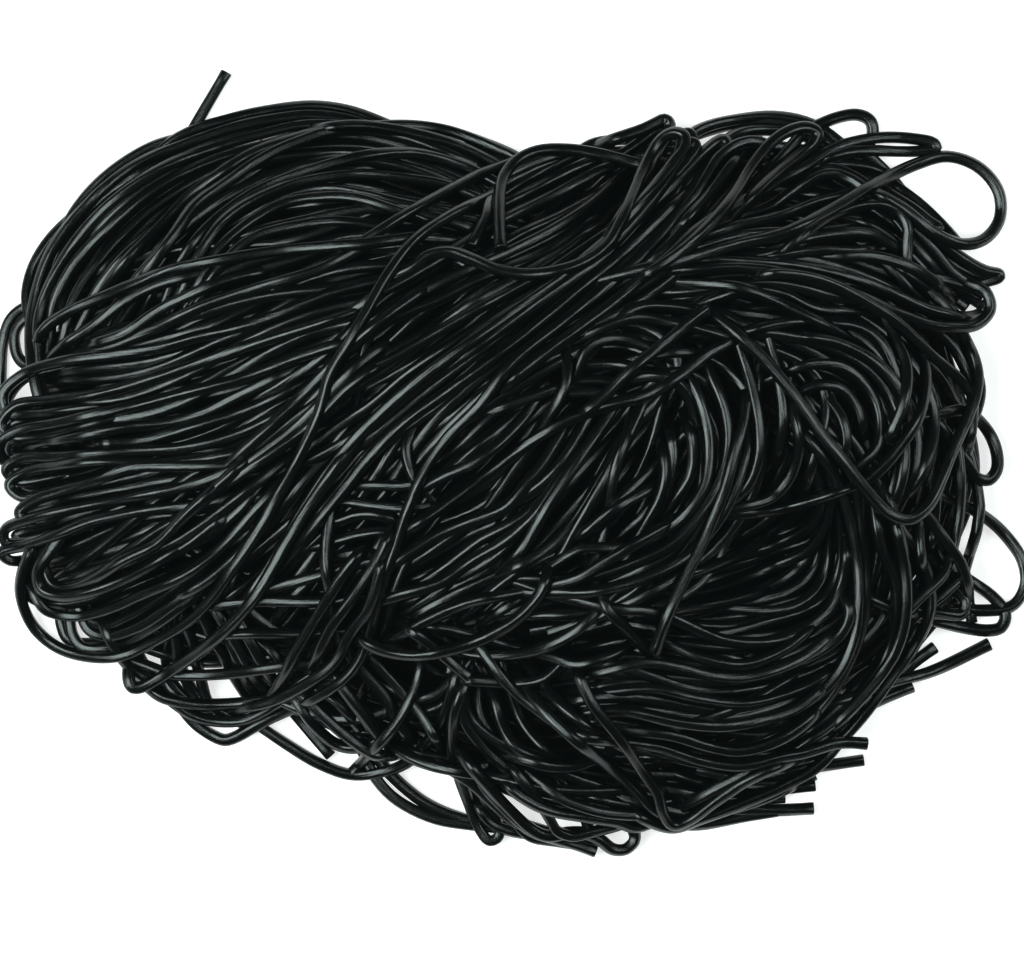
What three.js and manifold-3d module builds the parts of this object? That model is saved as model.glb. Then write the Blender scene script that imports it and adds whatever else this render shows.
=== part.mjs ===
// A heap of black licorice laces, tipped out and left as it lies.
// Millimetres, +Z up. The origin is on the surface below the middle of the heap.
// The heap is one solid: a lumpy core, with the laces that show laid over it and fused on.
// Laces are laid one after the other, and each one rests on the core and on those before it.

import * as THREE from "three";
import { mergeVertices } from "three/addons/utils/BufferGeometryUtils.js";
import Module from "manifold-3d";

// Driving sizes
const laceDiameter = 3.4;
const laceSides = 6;
const heapHalfLength = 159;
const heapHalfWidth = 121.5;
const coreHeight = 50;
const coreHeart = [8, 2];

// Length of a lace's straight steps, in a bundle and in a lace that bends more tightly
const gentleStep = 13;
const bentStep = 8;

// How laces lie: the gap left to what is below, how far and over what length the ends dip in,
// and how often the line is evened out, which makes a lace bridge wider gaps
const clearance = 0.9;
const endDip = 7;
const dipLength = 10;
const stiffnessRounds = 40;

// The map of the heap's height: its cells, and the floor it takes in past the heap
const gridCell = 1.7;
const floorMargin = 12;

// The corners of the section stand a little outside the round lace
const laceRadius = laceDiameter / 2;
const sectionRadius = laceRadius * 1.05;
const weldDistance = 1e-4;

// The core's outline, seen from above, half a dozen millimetres inside the laces round it
const coreOutline = [
  [146, -6], [138, 30], [128, 58], [108, 84], [66, 93], [30, 90], [2, 86], [-30, 95], [-66, 101],
  [-102, 91], [-130, 69], [-143, 38], [-148, 4], [-145, -30], [-124, -50], [-98, -68], [-70, -76],
  [-44, -86], [-16, -98], [14, -106], [52, -104], [84, -93], [106, -70], [126, -48],
];
const coreRings = 9;
const coreSpokes = 48;
const shoulderPower = 2.5;
const flankPower = 0.55;

// Soft lumps of the heap: place, how far they reach and how high or deep they are
const lumps = [
  { at: [92, -33], reach: 17, rise: -15 },
  { at: [118, 20], reach: 26, rise: 4 },
  { at: [-95, 62], reach: 36, rise: 5 },
  { at: [-10, 40], reach: 34, rise: 5 },
  { at: [-75, 10], reach: 30, rise: -4 },
  { at: [60, 70], reach: 26, rise: 4 },
  { at: [-20, -70], reach: 24, rise: -4 },
  { at: [48, -78], reach: 24, rise: 3 },
];

// Laces that run side by side are a bundle: the middles of its first and last lace, and how many
const bundles = [
  // Tips of the folded laces along the left side
  { count: 4,
    first: [[-96, 8], [-128, 1], [-154, 0], [-157, 9], [-152, 17], [-122, 23], [-94, 32]],
    last: [[-92, -12], [-126, -24], [-154, -31], [-158, -25], [-153, -17], [-124, -10], [-84, -1]] },
  // Arches over the top left
  { count: 4,
    first: [[-147, 20], [-148, 50], [-134, 76], [-108, 97], [-74, 106], [-50, 107], [-30, 99]],
    last: [[-140, 30], [-126, 50], [-106, 62], [-84, 76], [-62, 83], [-42, 82], [-24, 75]] },
  // The broad band from the upper right to the lower left
  { count: 5,
    first: [[46, 94], [28, 72], [0, 50], [-28, 34], [-58, 14], [-80, -2]],
    last: [[74, 97], [50, 76], [20, 47], [-18, 14], [-40, -30], [-52, -60], [-68, -72]] },
  // Arcs round the deep hollow
  { count: 3,
    first: [[104, -14], [108, -34], [106, -54], [96, -72], [82, -82]],
    last: [[120, -20], [129, -38], [126, -56], [116, -70], [102, -82]] },
  // Arcs in the middle of the right side
  { count: 3,
    first: [[56, 25], [61, 5], [52, -17], [34, -25], [14, -27]],
    last: [[82, 24], [89, 5], [76, -14], [56, -30], [32, -40], [10, -38]] },
  // Laces along the bottom
  { count: 3,
    first: [[12, -79], [30, -92], [52, -99], [76, -95], [96, -80]],
    last: [[-12, -94], [10, -111], [46, -112], [76, -108], [98, -88]] },
];

// Laces that stand out on their own: loops past the edge, folds and cut ends
const singleLaces = [
  // Cut end at the top left
  [[-88, 120.5], [-93, 112], [-99, 102], [-108, 92]],
  // Left edge
  [[-140, 52], [-152, 49], [-157.2, 39], [-157, 22], [-154, 6]],
  // Arch that leaves the core near the notch
  [[-112, 66], [-92, 88], [-64, 101], [-30, 105], [-8, 99], [4, 90]],
  // Loops of the top right
  [[46, 92], [55, 102], [70, 107], [86, 107], [98, 101], [106, 92]],
  [[50, 62], [84, 71], [112, 86], [134, 95], [147, 91], [150, 79], [141, 68], [126, 73], [112, 84]],
  [[60, 74], [94, 92], [114, 100], [128, 100], [131, 97], [120, 94], [106, 95]],
  [[60, 63], [95, 60], [122, 51], [140, 45], [148, 49], [144, 56], [130, 62]],
  [[116, 74], [134, 64], [150, 57]],
  // The long bent lace over the right side
  [[60, 48], [80, 30], [95, 10], [108, -7], [118, -16], [126, -16], [133, -5], [141, 12], [145, 27],
    [141, 42]],
  [[143, 18], [149, 8], [149, -3], [141, -6], [136, 2]],
  [[134, -20], [148, -20], [157, -31], [156, -41], [144, -44], [126, -43]],
  [[138, -33], [150, -42], [152, -50], [140, -51], [124, -47]],
  [[110, -66], [130, -63], [147, -56]],
  [[104, -78], [124, -70]],
  [[66, -92], [88, -88], [108, -86.5]],
  // Loops and folds of the bottom edge
  [[-16, -90], [-6, -103], [8, -116], [22, -117], [34, -121], [40, -115], [34, -104]],
  [[-14, -70], [-19, -86], [-15, -103], [-9, -116], [-4, -115], [-8, -103], [-14, -92]],
  [[20, -66], [34, -87], [45, -103], [50, -112], [60, -106], [78, -94]],
  [[-72, -84], [-60, -92], [-46, -96], [-32, -92], [-22, -80], [-17, -66]],
  [[-44, -94], [-34, -104], [-22, -110], [-10, -111]],
  [[-112, -66], [-96, -75], [-76, -74], [-62, -64]],
  [[-106, -72], [-92, -83], [-76, -81], [-56, -70]],
  // The long loop over the lower left
  [[-148, -26], [-152, -40], [-146, -53], [-128, -59], [-108, -54], [-90, -38], [-74, -12], [-60, 15],
    [-48, 42], [-30, 68], [-8, 82]],
  [[-142, -42], [-120, -38], [-98, -24], [-82, -8]],
  [[-70, -25], [-88, -51], [-110, -67], [-118, -68], [-114, -62]],
  // Cut ends and bends on top of the middle
  [[60, 48], [42, 33], [24, 18], [4, 6], [-22, -10], [-34, -20]],
  [[44, -59], [53, -37], [62, -18], [69, 3], [73, 18]],
  [[-32, 60], [-20, 65], [0, 59], [20, 61], [32, 73], [38, 90], [45, 102]],
  [[-4, 66], [-3, 85], [8, 96], [24, 96], [38, 92]],
  [[12, -30], [6, -44], [-14, -56], [-44, -57]],
];

// Shape of the core
const outlineCurve = new THREE.CatmullRomCurve3(
  coreOutline.map(([x, y]) => new THREE.Vector3(x, y, 0)), true);
const rim = outlineCurve.getSpacedPoints(coreSpokes).slice(0, coreSpokes);

function lumpRise(x, y) {
  let rise = 0;
  for (const { at, reach, rise: height } of lumps) {
    const away = Math.hypot(x - at[0], y - at[1]) / reach;
    rise += height * Math.exp(-away * away);
  }
  return rise;
}

// Height of the core's skin at a share of the way from the heart to the rim
function skinHeight(share, x, y) {
  const dome = (1 - share ** shoulderPower) ** flankPower;
  return dome * (coreHeight + lumpRise(x, y));
}

function makeCore() {
  const corners = [coreHeart[0], coreHeart[1], skinHeight(0, ...coreHeart)];
  for (let ring = 1; ring <= coreRings; ring++) {
    // Rings stand closer together towards the steep rim
    const share = Math.sin((ring / coreRings) * Math.PI / 2);
    for (const { x: rimX, y: rimY } of rim) {
      const x = coreHeart[0] + (rimX - coreHeart[0]) * share;
      const y = coreHeart[1] + (rimY - coreHeart[1]) * share;
      corners.push(x, y, skinHeight(share, x, y));
    }
  }
  const underHeart = corners.length / 3;
  corners.push(coreHeart[0], coreHeart[1], 0);
  const faces = [];
  const corner = (ring, spoke) => 1 + (ring - 1) * coreSpokes + (spoke % coreSpokes);
  for (let spoke = 0; spoke < coreSpokes; spoke++) {
    faces.push(0, corner(1, spoke), corner(1, spoke + 1));
    faces.push(underHeart, corner(coreRings, spoke + 1), corner(coreRings, spoke));
    for (let ring = 1; ring < coreRings; ring++) {
      const inner = [corner(ring, spoke), corner(ring, spoke + 1)];
      const outer = [corner(ring + 1, spoke), corner(ring + 1, spoke + 1)];
      faces.push(inner[0], outer[0], outer[1], inner[0], outer[1], inner[1]);
    }
  }
  const geometry = new THREE.BufferGeometry();
  geometry.setAttribute("position", new THREE.Float32BufferAttribute(corners, 3));
  geometry.setIndex(faces);
  return geometry;
}

// A map of how high the heap stands so far, to lay the next lace on
const columns = Math.ceil(2 * (heapHalfLength + floorMargin) / gridCell);
const rows = Math.ceil(2 * (heapHalfWidth + floorMargin) / gridCell);
const reached = new Float32Array(columns * rows);

function cellsNear(x, y, reach, visit) {
  const middleColumn = (x + heapHalfLength + floorMargin) / gridCell;
  const middleRow = (y + heapHalfWidth + floorMargin) / gridCell;
  const span = reach / gridCell;
  for (let row = Math.ceil(middleRow - span); row <= middleRow + span; row++) {
    for (let column = Math.ceil(middleColumn - span); column <= middleColumn + span; column++) {
      const away = Math.hypot(column - middleColumn, row - middleRow) * gridCell;
      if (away <= reach) visit(row * columns + column, Math.sqrt(reach * reach - away * away));
    }
  }
}

function markCore(geometry) {
  const skin = new THREE.Mesh(geometry, new THREE.MeshBasicMaterial());
  const down = new THREE.Vector3(0, 0, -1);
  const above = coreHeight * 2;
  const ray = new THREE.Raycaster();
  for (let row = 0; row < rows; row++) {
    for (let column = 0; column < columns; column++) {
      const x = column * gridCell - heapHalfLength - floorMargin;
      const y = row * gridCell - heapHalfWidth - floorMargin;
      ray.set(new THREE.Vector3(x, y, above), down);
      const hit = ray.intersectObject(skin)[0];
      if (hit) reached[row * columns + column] = hit.point.z;
    }
  }
}

// Lays a lace on what is there. It bridges narrow gaps, as a stiff lace does, and its ends dip
// into the heap, which is where it is fused on.
function layLace(route) {
  const plan = new THREE.CatmullRomCurve3(route.map(([x, y]) => new THREE.Vector3(x, y, 0)));
  const points = plan.getSpacedPoints(Math.round(plan.getLength() / laceRadius));
  const support = points.map(({ x, y }) => {
    let height = sectionRadius;
    cellsNear(x, y, laceRadius, (cell, lift) => {
      height = Math.max(height, reached[cell] + lift + clearance);
    });
    return height;
  });
  let heights = support.slice();
  for (let round = 0; round < stiffnessRounds; round++) {
    heights = heights.map((height, i) => {
      const before = heights[Math.max(i - 1, 0)];
      const after = heights[Math.min(i + 1, heights.length - 1)];
      return Math.max(support[i], (before + height + after) / 3);
    });
  }
  const dipPoints = Math.round(dipLength / laceRadius);
  points.forEach((point, i) => {
    const fromEnd = Math.min(i, points.length - 1 - i) / dipPoints;
    const dip = endDip * Math.max(0, 1 - fromEnd) ** 2;
    point.z = Math.max(sectionRadius, heights[i] - dip);
    cellsNear(point.x, point.y, laceRadius, (cell, lift) => {
      reached[cell] = Math.max(reached[cell], point.z + lift);
    });
  });
  return new THREE.CatmullRomCurve3(points);
}

const laceSection = new THREE.Shape();
for (let side = 0; side < laceSides; side++) {
  const turn = (side / laceSides) * Math.PI * 2;
  const x = sectionRadius * Math.cos(turn);
  const y = sectionRadius * Math.sin(turn);
  if (side === 0) laceSection.moveTo(x, y);
  else laceSection.lineTo(x, y);
}

function makeLace(route, laceStep) {
  const path = layLace(route);
  const steps = Math.ceil(path.getLength() / laceStep);
  return new THREE.ExtrudeGeometry(laceSection, { steps, extrudePath: path, bevelEnabled: false });
}

// Routes between the first and the last of a bundle, evenly spread
function bundleRoutes({ count, first, last }) {
  const [from, to] = [first, last].map((route) =>
    new THREE.CatmullRomCurve3(route.map(([x, y]) => new THREE.Vector3(x, y, 0))));
  const stations = Math.max(first.length, last.length) * 2;
  const routes = [];
  for (let lace = 0; lace < count; lace++) {
    const across = lace / (count - 1);
    const route = [];
    for (let station = 0; station <= stations; station++) {
      const point = from.getPointAt(station / stations).lerp(to.getPointAt(station / stations), across);
      route.push([point.x, point.y]);
    }
    routes.push(route);
  }
  return routes;
}

// Joining
const wasm = await Module();
wasm.setup();

function toSolid(geometry) {
  geometry.deleteAttribute("normal");
  geometry.deleteAttribute("uv");
  const merged = mergeVertices(geometry, weldDistance);
  return new wasm.Manifold(new wasm.Mesh({
    numProp: 3,
    vertProperties: merged.getAttribute("position").array,
    triVerts: new Uint32Array(merged.getIndex().array),
  }));
}

// The largest body alone, so that no loose scrap or sealed hollow is left
function largestBody(solid) {
  return solid.decompose().reduce((best, body) => (body.volume() > best.volume() ? body : best));
}

const core = makeCore();
markCore(core);
let heap = toSolid(core);
for (const route of bundles.flatMap(bundleRoutes)) {
  heap = heap.add(toSolid(makeLace(route, gentleStep)));
}
for (const route of singleLaces) {
  heap = heap.add(toSolid(makeLace(route, bentStep)));
}
const { vertProperties, triVerts } = largestBody(heap).getMesh();
const geometry = new THREE.BufferGeometry();
geometry.setAttribute("position", new THREE.BufferAttribute(vertProperties, 3));
geometry.setIndex(new THREE.BufferAttribute(triVerts, 1));

// The origin goes to the middle of the box round the heap
geometry.computeBoundingBox();
const middle = geometry.boundingBox.getCenter(new THREE.Vector3());
geometry.translate(-middle.x, -middle.y, -geometry.boundingBox.min.z);
geometry.computeVertexNormals();

const blackLicorice = new THREE.MeshStandardMaterial({
  color: 0x16191a,
  roughness: 0.42,
  metalness: 0,
});
const laces = new THREE.Mesh(geometry, blackLicorice);
laces.name = "licorice_laces";

const group = new THREE.Group();
group.add(laces);
export default group;
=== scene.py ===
import math

import bmesh
import bpy
import numpy as np
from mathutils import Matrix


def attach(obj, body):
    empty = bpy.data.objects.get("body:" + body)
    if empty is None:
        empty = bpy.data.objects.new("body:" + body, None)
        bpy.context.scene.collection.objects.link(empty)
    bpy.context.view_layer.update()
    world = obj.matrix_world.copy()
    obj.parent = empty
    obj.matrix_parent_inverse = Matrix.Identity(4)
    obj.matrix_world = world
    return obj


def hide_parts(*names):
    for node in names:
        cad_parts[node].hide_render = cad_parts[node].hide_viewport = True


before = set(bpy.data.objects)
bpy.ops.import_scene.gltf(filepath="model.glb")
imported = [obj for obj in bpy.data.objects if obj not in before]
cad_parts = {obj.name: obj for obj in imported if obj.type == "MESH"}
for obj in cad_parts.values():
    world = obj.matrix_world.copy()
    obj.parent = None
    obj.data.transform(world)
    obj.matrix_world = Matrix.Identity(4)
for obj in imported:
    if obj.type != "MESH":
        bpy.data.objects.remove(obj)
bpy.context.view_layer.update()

# The heap's form. A loose heap of long licorice laces tipped out on a flat surface. Its plan is
# the rim below, in millimetres from the middle of the heap, and its top is a low mound with a
# few swells and one hollow, where a coil of laces lies open.
heap_rim = [
    (146, -6), (138, 30), (128, 58), (108, 84), (66, 93), (30, 90), (2, 86), (-30, 95), (-66, 101),
    (-102, 91), (-130, 69), (-143, 38), (-148, 4), (-145, -30), (-124, -50), (-96, -62), (-72, -66),
    (-44, -86), (-16, -98), (14, -106), (52, -104), (84, -93), (106, -70), (126, -48),
]
heap_heart = np.array([8.0, 2.0])
heap_height = 50.0
shoulder_power = 2.5
flank_power = 0.55
swells = [
    ((87, -31), 19, -30), ((118, 20), 26, 4), ((-95, 62), 36, 5), ((-10, 40), 34, 5),
    ((-75, 10), 30, -4), ((60, 70), 26, 4), ((-20, -70), 24, -4), ((48, -78), 24, 3),
]
points_between = 24


def smooth_through(points, spacing, closed=False):
    """Points evenly spaced along a smooth curve through the given ones."""
    knots = np.array(points, float)
    if closed:
        knots = np.concatenate((knots[-1:], knots, knots[:2]))
    else:
        knots = np.concatenate((2 * knots[:1] - knots[1:2], knots, 2 * knots[-1:] - knots[-2:-1]))
    spans = np.sqrt(np.linalg.norm(np.diff(knots, axis=0), axis=1))
    curve = []
    for index in range(1, len(knots) - 2):
        before, here, after, beyond = knots[index - 1:index + 3]
        lead, span, trail = spans[index - 1:index + 2]
        leave = (here - before) / lead - (after - before) / (lead + span) + (after - here) / span
        reach = (after - here) / span - (beyond - here) / (span + trail) + (beyond - after) / trail
        share = np.linspace(0, 1, points_between, endpoint=False)[:, None]
        curve.append(
            here * (2 * share**3 - 3 * share**2 + 1) + after * (3 * share**2 - 2 * share**3)
            + span * leave * (share**3 - 2 * share**2 + share) + span * reach * (share**3 - share**2)
        )
    curve = np.concatenate(curve + [knots[-2:-1]])
    along = np.concatenate(([0], np.cumsum(np.linalg.norm(np.diff(curve, axis=0), axis=1))))
    stops = np.linspace(0, along[-1], max(3, round(along[-1] / spacing) + 1))
    return np.stack([np.interp(stops, along, curve[:, axis]) for axis in (0, 1)], axis=1)


rim_line = smooth_through(heap_rim, 1.0, closed=True) - heap_heart
rim_angles = np.arctan2(rim_line[:, 1], rim_line[:, 0])
rim_order = np.argsort(rim_angles)
rim_angles = rim_angles[rim_order]
rim_reaches = np.linalg.norm(rim_line, axis=1)[rim_order]


def rim_reach(angle):
    """How far the rim is from the heap's heart at an angle."""
    return np.interp(angle, rim_angles, rim_reaches, period=math.tau)


def rim_share(place, inset=0.0):
    """How far out a place is, from 0 at the heap's heart to 1 on its rim."""
    offset = place - heap_heart
    reach = rim_reach(np.arctan2(offset[..., 1], offset[..., 0]))
    return np.linalg.norm(offset, axis=-1) / (reach - inset)


def mound(place, inset, height):
    """Height of the heap's form over a place."""
    share = np.clip(rim_share(place, inset), 0, 1)
    swell = sum(
        rise * np.exp(-((place - np.array(at)) ** 2).sum(-1) / reach**2) for at, reach, rise in swells
    )
    return (1 - share**shoulder_power) ** flank_power * (height + swell)


# Each lace is one long string of black licorice, drawn round and a little flat, and cut square.
# A route is where a lace runs, seen from above, in millimetres. An end is buried under other
# laces unless it is named as cut. The first routes are the lowest loops, round the lower rim.
def lace(*points, cut=""):
    """One lace's route, with the end that is a cut one, start or end, if one is."""
    return {"points": points, "cut": cut}


lower_rim = [
    lace((-76, -57), (-67.5, -65.6), (-58.5, -74.6), (-52, -80)),
    lace((-46, -90), (-42.4, -97.4), (-36, -104.2), (-24.5, -110), (-12, -112.2), (-3, -113.2)),
    lace((-44, -88), (-37, -97), (-26, -105.8), (-13, -110.8), (-1, -112.8)),
    lace((-30, -86), (-14, -96), (0, -101.6), (8, -104.8), (16, -107), (30, -108), (44, -110),
         (56, -112), (75, -109)),
    lace((-76, -83), (-70, -87), (-60, -93), (-50, -96.5), (-42, -96), (-33, -93), (-25, -85),
         (-20, -75), (-17, -65)),
    lace((-75, -68), (-66.6, -78.4), (-60.6, -85.6), (-56, -90.8), cut="end"),
    lace((-50, -80), (-40, -86.4), (-28, -90.4), (-14, -93)),
    lace((-14, -67), (-18, -78), (-18.6, -88), (-16.6, -96), (-13.4, -105), (-10.4, -112.6),
         (-7, -117), (-4, -115.4), (-6, -108), (-12, -98), (-17, -90)),
    lace((-12, -104), (-7, -111), (-2, -113.5), (5, -115), (12, -116)),
    lace((-14, -92), (-7, -101.3), (-1.7, -108), (2.2, -112.6), (6, -115.6), (13, -117)),
    lace((-20, -94), (-12, -99), (-6, -104.6), (0.6, -110.6), (7, -112.9), (13, -114.6),
         (20, -115.8)),
    lace((-40, -84), (-50, -82.6), (-58, -80), (-66, -74)),
    lace((-38, -87), (-32, -90.6), (-24.4, -93.5), (-17.6, -95), (-12, -96)),
    lace((-18, -84), (-16.3, -90.7), (-11, -96.7), (-4.4, -104.6), (1.6, -110.6), (7, -114.3),
         (14, -116.4), (20, -118.2), (26, -120.4), cut="end"),
    lace((18, -102), (21.4, -107), (23.2, -111), (23.8, -114.6), cut="end"),
    lace((-2, -98), (10, -100.6), (22, -101.6), (34, -101.6), (46, -103.6), (58, -103)),
    lace((26, -103.6), (36, -105.6), (46, -105), (56, -103)),
    lace((-16, -90), (-8, -99), (0, -107.6), (6, -113), (11, -115.2), (17, -114.3), (22, -114.3),
         (27, -116.3), (31, -119.4), (35, -119.6), (38, -116.5), (37, -112.5), (32, -109),
         (24, -105)),
    lace((-2, -92), (4, -99), (9, -105.6), (12, -110.4), (13.8, -113.4), (19, -115.2), (25, -113.8),
         (31, -112.4), (38, -110)),
    lace((-4, -97), (1.4, -101.9), (10.9, -106.8), (22.6, -109), (32, -110.6), (38, -112.6),
         (44, -111)),
    lace((10, -100), (16, -104), (24, -106.6), (32, -108.2), (42, -108.6), (52, -106)),
    lace((46, -100), (58, -106), (70, -107), (82, -107.5), (93.5, -107), cut="end"),
    lace((52, -97), (66, -101), (78, -101.5), (94, -100), cut="end"),
    lace((56, -94), (72, -98), (84, -95.5), (95, -94), (109, -92), cut="end"),
    lace((66, -97), (75, -98.8), (84, -98.4), (92, -96)),
    lace((80, -94.6), (88, -93.2), (94.6, -91.8), cut="end"),
    lace((130, -42), (126.5, -49), (123.5, -55), (119, -62), (112, -70.5), (102, -80)),
    lace((120, -54), (113, -62), (105, -70.6), (97, -79), (88, -86)),
    lace((76, -90), (88, -90), (100, -89.6), (104, -89)),
    lace((118, -64), (111, -73), (104, -80.5), (96.5, -87.8), (87, -94)),
    lace((40, -100), (50, -101.4), (64, -104), (76, -104), (84.5, -103.4), cut="end"),
    lace((36, -104), (44, -106), (54, -108.2), (64, -107.6), (76, -104.5), (86, -100)),
    lace((128, -52), (120, -61.4), (110.2, -75), (102.4, -84.8), (94, -94), (84, -99.5),
         (70, -105.5), (58, -109.8), (50, -112.6), (43, -110.8), (36, -107)),
    lace((100, -80), (112, -74), (124, -69), cut="end"),
    lace((108, -76), (118.7, -66.8), (124, -62), (131, -57), cut="end"),
    lace((100, -74), (115, -68.5), (130, -64.5), (148, -56), cut="end"),
    lace((118, -47), (128, -48.4), (140, -51), (147, -51.9), (151.4, -51), (152.8, -46.8),
         (149.4, -42), (141.4, -36.2), (134, -31.5), (126, -26)),
    lace((118, -44), (130, -43.6), (145, -45.7), (155, -44.2), (158.8, -38), (157.9, -30),
         (152.2, -21.8), (146, -16.6), (138, -12), (130, -8)),
    lace((126, -30), (131, -36), (134.6, -40.6)),
    lace((124, -26), (129, -29), (132.4, -33), (134.6, -38.4), (133.6, -43.2), (128, -46.4),
         (120, -47.4)),
    lace((120, -45.6), (128, -46), (134, -46.6), (139, -46.6), (140.2, -43), (136, -38)),
    lace((131, -24), (135, -32), (137.6, -38)),
    lace((139.4, -34.8), (136, -38), (132.5, -41.2), (127, -45.6), cut="start"),
    lace((108, -40), (115, -44), (122, -46), (131, -46.4)),
    lace((140, 10), (142.4, 2), (143.8, -5), (144.4, -13), (143.6, -20), (142, -27), (140.6, -32),
         (139, -38)),
    lace((132, 15), (140, 16.2), (145, 12.4), (148.6, 7.2), (150.1, 1.5), (149.6, -2.6),
         (147, -5.4), (144, -4.6), (140.6, 0.4), (136, 7)),
    lace((-115.6, -48), (-116.4, -55), (-115, -60.4), (-111.6, -65.4), (-106.6, -70.4),
         (-100, -74.5), (-91, -76.6)),
    lace((-106.6, -44), (-106.6, -51), (-107, -57), (-106.8, -62), (-105.4, -67.4), (-102, -71.6),
         (-95, -75.6)),
    lace((-110, -58), (-104, -60), (-96, -61.6), (-88, -61.6), (-76, -60)),
    lace((-104, -54), (-102.6, -62), (-99.6, -69), (-96, -74), (-88, -77)),
    lace((-102, -48), (-99, -56), (-97, -63), (-95.6, -69), (-94, -74), (-88, -78)),
    lace((-96, -48), (-92, -56), (-88, -62), (-84.8, -67.6), (-81, -73), (-75, -77)),
    lace((-88, -54), (-83.6, -63), (-80, -70), (-74, -75.4)),
    lace((-92, -46), (-86, -55), (-80.6, -64), (-76.4, -69.4), (-70, -75), (-62, -77)),
    lace((-84, -50), (-80, -57), (-75, -65), (-69, -71), (-61, -74)),
    lace((-105, -71), (-102.8, -75), (-98.5, -80.4), (-93.5, -84), (-89, -85.8), (-85, -84.6),
         (-80, -81.7), (-75, -79), (-68, -75.8), (-60, -71), (-53, -64)),
    lace((-115, -65), (-109.6, -70.2), (-103.6, -75), (-98, -78.4), (-90.5, -80), (-83, -79.6),
         (-77, -77), (-70, -73), (-62, -69), (-56, -63)),
    lace((-114, -68), (-109, -72), (-104, -73.6), (-98, -74.6), (-90.5, -74.7), (-82, -74),
         (-75, -73), (-70, -71), (-62, -66)),
    lace((-70, -74), (-62, -77), (-54, -79), (-46, -79), (-36, -76)),
    lace((-66, -74), (-61, -81), (-55, -86.5), (-49, -88), (-42, -86), (-34, -80)),
    lace((-64, -72), (-57, -79), (-50, -85), (-42, -90), (-34, -90)),
    lace((-60, -70), (-54, -74), (-48.6, -80), (-45.6, -85.4)),
    lace((-58, -68), (-53, -68.3), (-49, -74.2), (-43.3, -80), (-38, -86)),
    lace((-140, -44), (-139.6, -50), (-137.2, -54.8), (-130, -55.8), (-122, -52.6), (-110, -46),
         (-95, -35)),
    lace((-137, -46), (-136, -53), (-133, -56.8), (-126, -57.4), (-119, -55.6), (-111, -50.6),
         (-98, -41)),
    lace((-138, -42), (-131.6, -47.6), (-125, -50.2), (-117, -47), (-106, -40), (-92, -30)),
    lace((-133.4, -46), (-130.6, -51.6), (-125, -53.6), (-115, -50.6), (-104, -43), (-90, -33)),
    lace((-126, -50), (-123, -56), (-120, -60.8), (-117, -64.2), (-113.4, -66.8), (-109, -69),
         (-106, -70.2)),
]

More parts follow.
